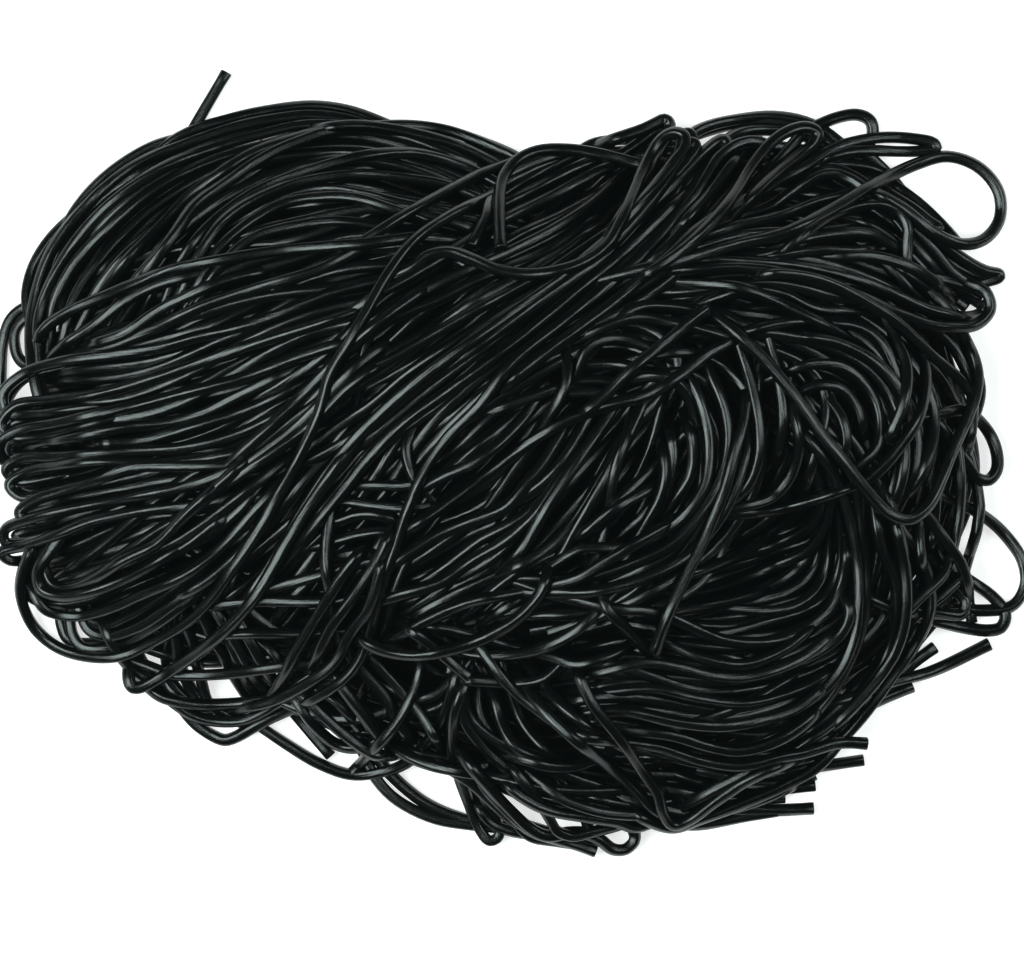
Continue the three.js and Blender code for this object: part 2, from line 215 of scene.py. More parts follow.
# Loops and ends round the upper rim. They are the same soft strings of licorice, which lie low
# on the table there and run in under the heap, so that its weight alone holds them.
upper_rim = [
    lace((-100, 101), (-97.2, 106), (-93.4, 112.5), (-88.4, 121), cut="end"),
    lace((-136, 44), (-142, 48), (-149.4, 48.8), (-155, 45), (-157.6, 37.6), (-158.4, 26),
         (-158.4, 12), (-156, 2), (-150, -6)),
    lace((-142, 46), (-150, 45), (-153.6, 41), (-153.8, 36), (-152, 31.6), (-145, 28)),
    lace((-138, -4), (-147, -6.6), (-151.8, -7.6), (-147, -9.4), (-138, -9)),
    lace((-136, 40), (-138.4, 48), (-137.4, 56), (-132, 64)),
    lace((-145, 22), (-147.4, 32), (-148.4, 42), (-150.2, 51), (-148.4, 60), (-143, 69),
         (-135, 76.6), (-127, 81), (-116, 86)),
    lace((-142, 56), (-140, 68), (-135.6, 77.4), (-129, 85.6), (-120, 93), (-109.6, 98.6),
         (-98, 101), (-86, 101.5)),
    lace((-128, 74), (-118, 87), (-108, 97.5), (-99, 102.9), (-88, 106.4), (-77.5, 108.7),
         (-62, 110.5), (-50.5, 109), (-40, 105.2), (-32, 101.4), (-20, 96), (-8, 90)),
    lace((-40, 101), (-28, 99.4), (-16, 96), (-6, 91.4), (4, 85)),
    lace((10, 88), (15, 92), (20, 95.8), (25, 98.8), (30, 99.8), (36, 100), (42, 98)),
    lace((16, 86), (26, 92), (35, 96), (42, 98.8), (50, 98), (60, 94)),
    lace((-126, 76), (-115, 87.6), (-103, 95.6), (-90, 100.4), (-76, 103.6), (-60, 105),
         (-46, 103)),
    lace((-144, 46), (-142.6, 56), (-137.6, 65), (-130, 73.6), (-120, 82), (-108, 90), (-94, 95)),
    lace((-141, 56), (-137.6, 63), (-130, 72), (-122, 79.6), (-112, 87.4), (-100, 93)),
    lace((-143, 60), (-138.6, 68.6), (-130, 78.4), (-121, 86), (-110, 92.6)),
    lace((54, 100.6), (62, 103.4), (72, 105.4), (82, 105.6), (92, 103), (100, 98)),
    lace((-156.8, 12), (-157, 17), (-154.4, 22.6), (-150, 26.6), (-142, 29)),
    lace((-144, 8.4), (-151, 7), (-154.8, 4.8), (-153.4, 1.8), (-144, 1)),
    lace((-134, 62), (-126, 74), (-117.6, 81.8), (-108, 88.6), (-98, 92)),
    lace((20, 91), (34, 94), (48, 96), (60, 95), (72, 95), (86, 95), (100, 93), (112, 87),
         (121, 79)),
    lace((36, 90), (48, 92), (62, 92), (76, 92), (90, 90), (104, 87), (116, 79)),
    lace((-14, 92), (-4, 90), (6, 93), (18, 94.5), (30, 96), (42, 96.5)),
    lace((-26, 99), (-16, 97.6), (-8, 95.6), (0, 92), (8, 87)),
    lace((-20, 88), (-8, 86), (4, 88), (16, 90), (28, 91), (40, 90)),
    lace((36, 72), (44, 85.5), (49, 92.5), (53, 98), (56, 101.8), (61, 104.3), (68, 106),
         (80, 107.3), (90, 105.8), (97, 102.5), (104, 97)),
    lace((56, 87), (60.4, 93), (65, 98.4), (69, 101.4), (74, 102.8), (80, 103), (88, 102.4),
         (95, 99)),
    lace((84, 98), (91, 102.5), (100, 106.7), (107, 107.8), (111, 105.8), (111.5, 100.8),
         (106, 93.5)),
    lace((60, 88), (68, 96.5), (76, 98), (88, 97), (100, 94.5)),
    lace((96, 94), (108, 96), (116, 90), (124, 80), (134, 68)),
    lace((100, 88), (112, 88), (122, 78), (132, 66), (144, 60)),
    lace((90, 92), (98, 88.6), (106, 84), (114, 78.4), (122, 72)),
    lace((92, 84), (102, 82.4), (110, 79.6), (118, 73.4), (126, 66.4), (133, 58)),
    lace((104, 76), (112, 73), (120, 67), (126, 61), (132, 52)),
    lace((114, 80), (120, 73), (126, 65), (134, 56.6), (142, 51)),
    lace((122, 73), (130, 67), (136.6, 61.8), (142.4, 58.6), (147.2, 57.4), cut="end"),
    lace((128, 58), (136, 55.6), (143, 53.6), (146, 52), cut="end"),
    lace((112, 80), (122, 74), (130, 66), (137, 58.2), (142.6, 55.2), (146.8, 56), (150.6, 57.2),
         (151, 58.2), (146.6, 59.2), (142, 61.4), (136, 65.4), (128, 71.6), (116, 80)),
    lace((117, 87), (127, 79.6), (135.4, 71), (140.6, 63.8)),
    lace((118, 62), (126, 56), (133, 50), (138, 45)),
    lace((130, 47), (136, 40), (140, 33), (142, 26)),
    lace((26, 90), (33, 94.6), (39, 98.6), (44, 102.4), (47.4, 103.4), cut="end"),
    lace((-128, 13), (-140, 13.2), (-150, 13), (-154.4, 11.4), (-154, 8.4), (-146, 7)),
    lace((90, 90), (97, 92.3), (105, 92.2), (114, 90.5), (122, 85)),
    lace((92, 88), (98.3, 91), (103, 89.6), (108.6, 86.4), (114, 82)),
    lace((130, 52), (138.8, 40.4), (142.6, 31.5), (144.6, 22), (142.2, 13), (139, 3)),
    lace((126, 46), (136, 36), (141, 26), (142, 15), (141, 4)),
]

# The right half is one big loose coil round an open hollow, as a long lace falls when it is let
# go in rings. Its turns rest on each other and run in under the middle of the heap.
coil = [
    lace((92, 10), (101, 5), (106, -4), (108, -18), (109, -30), (109.5, -40), (108, -52),
         (104, -62), (98, -72), (89, -81), (76, -87)),
    lace((101, -4), (105, -18), (107, -30), (107.5, -42), (106, -54), (101, -65), (93, -73),
         (82, -79)),
    lace((112, -12), (114, -25), (118, -35), (119, -43), (117, -56), (110, -68), (100, -79),
         (88, -88)),
    lace((116, -10), (120, -20), (126, -28), (129, -37), (128.5, -47), (123.6, -57.6), (117, -66.6),
         (109.6, -76.4), (102.6, -84.4), (93, -92.6)),
    lace((118, -16), (121, -28), (122, -40), (120.5, -52), (115, -63), (107, -73), (97, -83)),
    lace((104, -24), (103, -33), (101, -40), (97.6, -46), (92, -50.8), (84, -54.4), (76, -55.8),
         (66, -55), (58, -52), (50, -48)),
    lace((40, -46), (50, -45.6), (58, -44.6), (66, -43.2), (75, -41), (81, -38.4)),
    lace((52, -35), (60, -32.8), (66, -30.6), (72, -28), (80, -22)),
    lace((102, -40), (104.4, -46), (102.4, -52), (98, -56.4), (90, -61), (80, -64)),
    lace((46, -55), (60, -61), (72, -62.5), (84, -58), (94, -50)),
    lace((100, -52), (92, -59), (82, -64), (72, -66.5), (62, -66), (52, -63.5), (42, -62),
         (32, -64), (20, -67)),
    lace((102, -60), (95, -67), (84, -72), (72, -74.5), (58, -73), (44, -70), (30, -71)),
    lace((98, -68), (88, -76), (76, -80), (64, -81.5), (50, -80), (36, -77), (22, -77)),
    lace((38, -83), (50, -84.5), (60, -87.5), (70, -89), (80, -86.5), (88, -82), (96, -75)),
    lace((84, 14), (93, 6), (100, -4), (104, -14)),
    lace((68, -16), (80, -15), (92, -12), (104, -8)),
    lace((138, 6), (139, -5), (138.6, -15), (136.4, -26), (133.6, -34), (128, -40)),
    lace((132, -6), (131, -18), (129, -28), (127, -38)),
    lace((127, -14), (126, -24), (127, -34)),
    lace((124, -11), (127.8, -15.3), (131.3, -20), (135.6, -26.5), (138.3, -31.3), (140, -35.8),
         (141, -41)),
    lace((30, -86), (45, -88), (58, -92), (68, -93.6), (74.5, -93), (82.6, -90.8), (89.1, -89.4),
         (94, -88), (98.9, -86.6), (103.7, -86.2), (109.6, -86.6), cut="end"),
]

# Laces that cross from the middle of the heap to its right side. They lie over the coil's upper
# turns, and some fold back at the right tip.
right_side = [
    lace((70, 40), (85, 43.5), (98, 43.5), (108, 42), (114, 37.5), (118, 30), (121, 21), (122, 10)),
    lace((60, 50), (74, 54), (84, 52.5), (94, 48), (106, 47)),
    lace((56, 56), (70, 54.5), (80, 51), (90, 46), (102, 40)),
    lace((88, 39.5), (100, 37.5), (110, 33), (117, 27), (122, 19), (124, 8)),
    lace((85, 28), (92, 30.5), (102, 30), (108, 26), (113, 18), (114, 8), (112, 3), (106, -2)),
    lace((86, 20), (94, 24), (102, 23), (107, 17), (109, 8)),
    lace((98, 20), (102, 14), (103.5, 7), (102, 1)),
    lace((85, 22), (88, 13), (89, 4), (86, -5), (80, -11), (70, -14)),
    lace((70, 38), (74, 25), (76.5, 12), (76.5, 2), (73, -7), (65, -14)),
    lace((80, 36), (83, 24), (84, 12), (82, 0)),
    lace((124, 44), (127, 34), (128, 25), (126, 15), (120, 5), (112, -4), (100, -10)),
    lace((118, 40), (122, 30), (121, 18), (116, 6)),
    lace((84, 68), (96, 70.6), (104, 71.4), (111, 71), (116, 68.4)),
    lace((80, 64), (96, 66), (106, 65.8), (112, 66.4), (116, 68)),
    lace((118, 82), (124, 78), (129.4, 73.6), (131.6, 72.4), (128, 73), (122, 75.6), (114, 79)),
    lace((86, 67), (92, 72), (99, 76.4), (106, 79.2), (111.6, 79.8), (117.2, 78.4), (120.8, 75.2),
         (122, 71.4), (121.8, 69.6)),
    lace((60, 63), (80, 62), (95, 60), (110, 56), (120, 51.5), (130, 47), (140, 44.8),
         (145.6, 46.6), (147.6, 50.6), (145.4, 54.2), (138, 57.5)),
    lace((52, 60), (72, 60.5), (90, 57.5), (106, 52), (120, 46), (132, 42), (143, 42.6),
         (147.6, 47.2), (146.4, 52.6), (140, 56)),
    lace((72, 56), (80, 58.5), (90, 58), (100, 55), (110, 49.5), (120, 43), (130, 33), (138, 26),
         (143, 19)),
    lace((56, 70), (63, 73.5), (71, 76.5), (80, 79.5), (85, 82.8), (91, 86.8), (95, 88.8),
         (99.4, 89.2), (104, 87.8), (109, 84.5), (114, 80)),
    lace((62, 71), (71, 74), (80, 75.8), (87, 78.2), (95, 81.3), (102, 83)),
    lace((100, 64), (112, 64), (124, 60), (134, 53)),
]

# Long arches over the upper left, laces of one hank that still lie nearly side by side, bent as
# they were when they were packed.
arches = [
    lace((-146, 20), (-148.2, 32), (-148.2, 46), (-143, 64), (-131, 80), (-116, 92), (-100, 99),
         (-85, 104), (-72, 106.5), (-62, 107.5), (-50, 106), (-40, 102.5), (-30, 99.5), (-18, 95.5),
         (-8, 91), (0, 86)),
    lace((-146, 30), (-146, 46), (-139, 62), (-127, 77), (-112, 88.5), (-96, 96), (-80, 101),
         (-64, 104.5), (-50, 104), (-36, 101), (-22, 96.5), (-10, 91), (0, 84)),
    lace((-143, 36), (-141, 50), (-133, 64), (-121, 76), (-108, 86), (-94, 93), (-78, 98),
         (-64, 101), (-50, 101.3), (-36, 98.5), (-22, 93.5), (-10, 88), (-2, 82)),
    lace((-139, 38), (-135, 52), (-126, 65), (-114, 77), (-100, 86.5), (-86, 93), (-72, 96.5),
         (-58, 98.3), (-44, 97.5), (-30, 94), (-16, 88.5), (-5, 82)),
    lace((-134, 42), (-128, 54), (-118, 66), (-106, 77), (-93, 86), (-79, 93), (-66, 95.5),
         (-52, 96), (-38, 94.5), (-24, 90.5), (-12, 85)),
    lace((-127, 53), (-120, 62), (-110, 73), (-100, 83), (-90, 90), (-80, 96), (-66, 100.5),
         (-52, 102.8), (-42, 102.3), (-28, 98.7), (-14, 93)),
    lace((-122, 50), (-112, 62), (-104, 71), (-94, 79), (-82, 86), (-68, 91.5), (-54, 94),
         (-40, 92.8), (-26, 89), (-13, 83)),
    lace((-115, 57), (-105, 70), (-98, 80), (-90, 86), (-80, 93), (-70, 98), (-55, 102.5),
         (-40, 104), (-30, 104.2), (-20, 102.8), (-10, 99.4), (0, 95), (10, 89)),
    lace((-60, 103), (-48, 104), (-38, 103), (-30, 101.5), (-19, 98.6), (-9, 94.4), (0, 89.5),
         (8, 84)),
    lace((-107, 52), (-103, 62), (-95.7, 72), (-86.5, 80), (-77, 85.6), (-62, 91), (-44, 95),
         (-28, 95), (-14, 91), (-2, 85)),
    lace((-102, 54), (-97, 64.4), (-90, 74.6), (-80, 81.6), (-66, 87), (-50, 89.4), (-35, 88.6),
         (-20, 86), (-6, 80)),
    lace((-98, 54), (-91.6, 65.4), (-81.5, 74.6), (-70.6, 80.6), (-58, 82.6), (-48, 82), (-38, 79),
         (-26, 75)),
    lace((-96, 54), (-88.6, 63.4), (-80, 70), (-68, 73.4), (-54, 75), (-38, 73)),
    lace((-74, 54), (-62, 60), (-50, 66.5), (-43, 70.7), (-35, 75.6), (-22, 83), (-12, 88),
         (-3, 91.6)),
]

# The left end is a hank of laces that come from the right, fold at the edge and run back in
# under the next ones, so that their folds lap over each other as scales do.
fan = [
    lace((-50, 65), (-60, 60), (-80, 54), (-95, 49), (-110, 42), (-125, 36), (-138, 33)),
    lace((-75, 60), (-88, 57), (-100, 52), (-110, 47), (-120, 40), (-132, 36)),
    lace((-100, 58), (-110, 55), (-120, 50), (-130, 42), (-140, 35), (-148, 26)),
    lace((-24, 70), (-30, 70), (-45, 68), (-60, 67), (-75, 65.5), (-90, 63), (-105, 60), (-115, 56),
         (-125, 52), (-138, 46), (-145, 40), (-148.6, 33), (-149.4, 28)),
    lace((-40, 57), (-55, 53), (-70, 47), (-85, 42), (-98, 39), (-108, 36), (-120, 34), (-140, 31),
         (-151, 27), (-157, 21), (-155.5, 15.5), (-148, 15), (-132, 17)),
    lace((-48, 47), (-60, 43), (-80, 37), (-100, 30), (-115, 25), (-130, 21), (-145, 19),
         (-153, 17.5), (-157.5, 12), (-154, 8), (-142, 9), (-126, 13)),
    lace((-50, 38), (-66, 33), (-85, 26), (-100, 22), (-120, 17), (-140, 12.5), (-152, 10),
         (-158, 6), (-157, 1), (-148, 0), (-130, 4)),
    lace((-70, 28), (-85, 21), (-95, 16), (-105, 13), (-120, 11), (-134, 8), (-144, 6)),
    lace((-66, 24), (-75, 19.5), (-85, 15.5), (-100, 11), (-115, 7), (-130, 6)),
    lace((-54, 22), (-70, 16), (-85, 9), (-100, 5), (-120, 3.5), (-140, 2), (-151, 1.5), (-156, -2),
         (-152.4, -5.6), (-140, -4)),
    lace((-96, -6), (-112, -10), (-130, -14.6), (-144, -19.4), (-153.4, -22.4), (-151, -24),
         (-138, -20.6), (-122, -14)),
    lace((-60, 10), (-78, 5), (-92, 2), (-108, 0), (-128, 0.5), (-140, -1), (-149, -2.5),
         (-155, -6.8), (-151, -10.6), (-140, -8), (-126, -3)),
    lace((-70, 4), (-84, 0), (-100, -1), (-118, -1.5), (-128, -5), (-140, -9), (-147, -11.5),
         (-151.6, -15.6), (-147, -18.4), (-134, -13)),
    lace((-46, 34), (-55, 27), (-65, 17), (-75, 7), (-85, -1), (-100, -7), (-120, -11), (-140, -15),
         (-149, -17.4), (-156.4, -20.6), (-156.4, -24.4), (-148, -24.2), (-132, -19)),
    lace((-84, -10), (-98, -13), (-115, -15), (-130, -18), (-140, -22), (-149, -25.2),
         (-157.6, -27.6), (-155, -30.2), (-144, -28.4), (-130, -23.4)),
]

# A broad band of laces runs from the upper right over the middle to the lower left. They kept
# together when the heap was tipped out, and a few of them fold over at the band's upper end.
band = [
    lace((-78, -22), (-65, -6), (-50, 8), (-30, 23), (-10, 37), (10, 50), (30, 65), (48, 80),
         (60, 93)),
    lace((-80, 4), (-60, 19), (-40, 33), (-20, 44), (0, 55), (20, 66), (40, 80), (52, 92)),
    lace((-48, 20), (-44, 40), (-32, 47), (-22, 51), (-10, 57), (2, 61.5), (14, 68), (26, 76.5)),
    lace((-54, 38), (-44, 44), (-34, 50), (-22, 56), (-10, 61.5), (0, 66), (12, 72), (24, 80),
         (33, 88)),
    lace((45.4, 93.4), (43.6, 90), (40, 82.8), (34.6, 74), (27, 64), (16, 54), (4, 44), (-10, 32),
         (-22, 22), (-34, 14), (-44, 6), (-52, -3), (-62, -12)),
    lace((44, 74), (49.6, 82), (53.6, 90), (56, 97), (55.2, 101.4), (53, 101.4), (51.4, 95),
         (48, 88), (42.6, 79.4), (36, 71), (24, 60), (10, 50), (-6, 38), (-22, 26), (-38, 13),
         (-50, 3)),
    lace((52, 80), (58.6, 87.6), (63, 92.6), (66.2, 96.8), (65.4, 99.4), (63, 98.6), (57, 93.4),
         (49.4, 85.6), (40.6, 77.6), (34, 70.6), (27, 63), (14, 54), (0, 44), (-14, 34), (-28, 24),
         (-40, 14), (-50, 6), (-60, -2)),
    lace((50, 88), (54.6, 93.4), (56.8, 97.4), (55.2, 98.6), (51.6, 93), (46.4, 85.2), (38.6, 75.8),
         (31, 68), (21, 61), (8, 53), (-6, 45), (-20, 36), (-32, 28), (-44, 18), (-56, 10),
         (-66, 2)),
    lace((-60, 17), (-50, 23), (-40, 29), (-30, 36), (-20, 44), (-8, 52), (2, 57.5), (14, 64.5),
         (26, 73)),
    lace((-58, 22), (-48, 27), (-36, 33), (-24, 40), (-12, 47), (0, 53.5), (12, 60), (24, 68)),
    lace((-70, -2), (-58, 3), (-46, 10), (-34, 20), (-22, 30), (-8, 42), (6, 51)),
    lace((-86, 1), (-74, 12), (-62, 24), (-50, 36), (-38, 46), (-26, 55)),
    lace((-84, -2), (-76, 4), (-66, 12), (-58, 20), (-48, 30), (-38, 38)),
    lace((-90, -8), (-80, -1), (-70, 6), (-60, 14), (-50, 24), (-40, 31)),
    lace((-120, -28), (-108, -20), (-98, -14), (-92, -8), (-82, 1)),
    lace((-134, -35), (-118, -30), (-104, -24), (-92, -16), (-80, -7), (-70, 1), (-58, 9)),
    lace((-144, -33), (-142, -37), (-138, -38.5), (-130, -36), (-120, -30), (-110, -25),
         (-102, -17), (-92, -8)),
    lace((-146, -30), (-149.5, -35), (-151, -39), (-147, -42.5), (-138, -43.5), (-130, -42),
         (-120, -37), (-110, -31), (-100, -25), (-88, -16)),
    lace((-124, -44), (-118, -42), (-104, -36), (-92, -28), (-80, -20), (-70, -10)),
    lace((-143, -28), (-146.2, -34), (-145, -39), (-138, -41), (-128, -39), (-116, -34),
         (-104, -27)),
    lace((-147.4, -40.4), (-144, -45.4), (-135, -47.4), (-125, -45.5), (-115, -41), (-100, -34),
         (-90, -26), (-80, -15), (-70, -4)),
    lace((-104, -42), (-94, -36), (-84, -27), (-80, -22), (-72, -10)),
    lace((-26, 4), (-18, 12.5), (-8, 22), (4, 34), (18, 46), (30, 57), (41, 68), (50, 77),
         (58, 86)),
    lace((62, 78), (68.4, 85.6), (74, 91.4), (78, 95.4), (78.2, 98), (75, 99.2), (70.6, 98.6),
         (66.6, 96.6), (63, 93.4), (60.4, 89.4), (56.4, 82.6), (50.4, 75.6), (42, 66), (30, 55),
         (15, 43), (0, 31), (-10, 18), (-20, 8), (-28, -4), (-33, -16), (-37, -28), (-41, -40),
         (-43.5, -50), (-46.5, -59.5), (-50.5, -65.5), (-57, -70.5), (-66, -75)),
    lace((-74, -36), (-68, -27.7), (-61, -18), (-54, -9.1), (-44, 3.3), (-33.6, 10.6), (-22, 19),
         (-12, 28), (2, 40)),
    lace((-74, -72), (-70, -65), (-66.5, -58), (-62, -50.5), (-57.2, -42.5), (-52, -34), (-46, -27),
         (-38, -21), (-30, -13)),
    lace((-72, -73), (-66, -69.5), (-62.5, -64), (-59.9, -58.6), (-58.2, -54.8), (-55, -49),
         (-50.7, -43.5), (-46, -37), (-41, -29), (-37, -20)),
    lace((-84, -76), (-75.5, -74), (-70, -71.8), (-64.7, -69), (-59.3, -65.6), (-55, -62),
         (-52.7, -58.6), (-51.3, -54.8), (-48.5, -50.5), (-45, -46), (-42, -38), (-40, -28)),
    lace((-82, -42), (-74, -30), (-66, -16), (-58, -4), (-50, 6), (-38, 18), (-26, 28), (-12, 38),
         (2, 48), (16, 58), (28, 68)),
    lace((44.6, 94), (40.6, 87), (36, 80), (31, 72)),
    lace((70.6, 95.4), (66, 90), (60, 82), (52, 73)),
    lace((89.4, 101.4), (84, 95.4), (78, 88.4), (72, 81), (64, 73), cut="start"),
    lace((-68, -28), (-60, -18), (-52, -8), (-44, 2), (-34, 12), (-20, 22), (-6, 32), (8, 43),
         (20, 53), (32, 63), (43, 73), (52, 82)),
]

# Short stretches of laces in the jumble below the middle. They cross each other all ways, and
# each is a lace that comes up from the heap for a few centimetres and dives again.
jumble = [
    lace((-112, -63), (-105, -65.4), (-99.2, -65.6), (-88, -65), (-74, -63.2), (-60, -62)),
    lace((-94, -54), (-85, -53), (-65, -53), (-52, -52)),
    lace((-90, -44), (-78, -43), (-58, -43), (-46, -41)),
    lace((-84, -42), (-75, -39), (-60, -35), (-48, -31)),
    lace((-62, -12), (-52, -12), (-44, -13), (-34, -14), (-22, -13)),
    lace((-62, -19), (-54, -18), (-48, -16), (-42, -16), (-32, -19)),
    lace((-62, -26), (-54, -24), (-46, -22), (-36, -21)),
    lace((-62, -31), (-54, -29), (-46, -28), (-38, -29)),
    lace((-62, -35), (-54, -33), (-46, -31), (-36, -30)),
    lace((-50, -7), (-42, -7), (-32, -7), (-22, -4)),
    lace((-56, -10), (-57, -18), (-58, -30), (-56, -42)),
    lace((-30, 12), (-33, 5), (-31, -4), (-26, -10)),
    lace((-56, -64), (-52, -70), (-46, -78), (-40, -86)),
    lace((-52, -57), (-48, -63), (-40, -72), (-35, -81), (-30, -88)),
    lace((-44, -60), (-36, -69), (-28, -78), (-22, -88)),
    lace((-28, -56), (-28.5, -64), (-31, -72), (-36, -81), (-44, -90)),
    lace((-10, -64), (-6, -72), (-3, -82), (1, -88), (8, -91), (20, -90)),
    lace((-2, -66), (0, -73), (4, -82), (12, -90), (22, -94)),
    lace((4, -92), (12, -94), (20, -94), (28, -91)),
    lace((6, -64), (14, -74), (24, -82), (34, -88)),
    lace((-18, -67), (-8, -68), (2, -68.5), (10, -67), (16, -62)),
    lace((-30, -50), (-18, -52), (-4, -56), (12, -60), (20, -62.5), (30, -60), (38, -56)),
    lace((-20, -58), (-6, -60), (8, -58), (20, -52), (28, -44)),
    lace((4, -38), (13, -41), (20, -42.5), (30, -45), (40, -46)),
    lace((24, -32), (27, -39), (30, -46), (36, -52), (43, -59), (50, -64)),
    lace((-44, -58), (-36, -54), (-25, -48), (-13, -43), (-2, -41)),
    lace((30, -86), (20, -84), (10, -78), (0, -70), (-8, -60)),
    lace((5, -71), (12, -79), (20, -86), (30, -94), (38, -101), (44, -107), (50, -110)),
    lace((52, -82), (64, -78), (76, -73), (88, -66)),
    lace((50, -108), (60, -102), (70, -97), (80, -92)),
    lace((-34, -50), (-27, -55), (-20, -61), (-13.3, -66.6), cut="end"),
]

# Laces that sweep out of the band over the middle of the heap towards the hollow, and bend down
# over its edge.
middle = [
    lace((6, -36), (14, -36), (26, -35), (38, -31), (50, -25), (58, -16), (64, -6), (67, 5),
         (66, 16), (62, 26), (58, 34)),
    lace((8, -40), (24, -40), (40, -36), (54, -29), (64, -18), (70, -6), (73, 6), (72, 18)),
    lace((18, 14), (10, 0), (5, -6), (-2, -14), (-12, -18), (-22, -22), (-32, -28), (-40, -33)),
    lace((34, 18), (30, 13), (22, 3), (14, -6), (7, -16), (-2, -24), (-12, -30), (-22, -37),
         (-35, -41), (-44, -44)),
    lace((32, 18), (28, 12), (18, -3), (10, -15), (3, -27), (-7, -36), (-18, -42)),
    lace((48, 24), (44, 18), (35, 8), (28, -4), (22, -14), (16, -22), (9, -28), (-2, -34)),
    lace((40, 16), (34, 4), (26, -10), (20, -20), (14, -30), (6, -36)),
    lace((36, 10), (32, -2), (30, -14), (28, -24), (24, -34)),
    lace((26, -22), (31, -14), (37.2, -7.7), (44, -1.5), (50, 4.6), (54, 9), (61, 13)),
    lace((-28, -8), (-21, -4), (-12, 0), (-4, 6), (2, 12), (8, 20)),
    lace((-6, 16), (2, 19), (8, 21), (14, 23), (24, 22)),
    lace((36, -30), (42, -21), (49, -12), (54, -3)),
    lace((16, -26), (22, -22), (30.7, -15), (41.6, -8.7), (50, -4)),
    lace((44, -18), (48, -8), (50, 2), (49, 12)),
    lace((38, -25), (42.4, -17.2), (46.2, -9.5), (47.4, -2.4), (46, 7)),
    lace((50, -12), (55, -4), (56, 5), (54, 14)),
    lace((14, -31), (21, -26.8), (30, -26.2), (37.2, -26), (45.3, -22.6), (53.3, -16.4),
         (58.2, -10), (60.6, -3.9), (61, 8), (58, 20), (54, 28)),
    lace((22, 30.4), (29, 30.6), (36, 30), (44, 27)),
    lace((20, 25.4), (27, 25.6), (34, 24.6)),
    lace((12, 20.6), (20, 21.9), (28, 21.4), (36, 19)),
    lace((26, 36), (38, 48), (50, 48.5), (60, 46.5)),
    lace((24, 40), (38, 45), (52, 43), (64, 40)),
    lace((20, 28), (24, 36), (30, 38.5), (37, 38), (44, 35)),
    lace((17, 34), (17, 25), (15, 20), (12, 15), (8, 9), (2, 2)),
    lace((-3, 59), (6, 62), (14, 67), (25, 73.2), (33, 79.5)),
    lace((-6, 62), (4, 66.3), (15, 72), (27, 79.5), (37, 88)),
    lace((-4, 67), (2, 70.5), (12, 75), (22, 80.5), (34, 88)),
    lace((-5, 74), (1, 77), (12, 82.5), (25, 89), (35, 93.5)),
    lace((-5, 78.5), (0, 81), (10, 86), (22, 92), (32, 96)),
    lace((-5, 82), (0, 84.7), (7, 88.5), (16, 93.5), (26, 97)),
    lace((-7, 84), (-1, 87), (8, 91.4), (16, 95)),
    lace((-6, 87), (0, 89.4), (7, 92.6), (14, 95)),
]

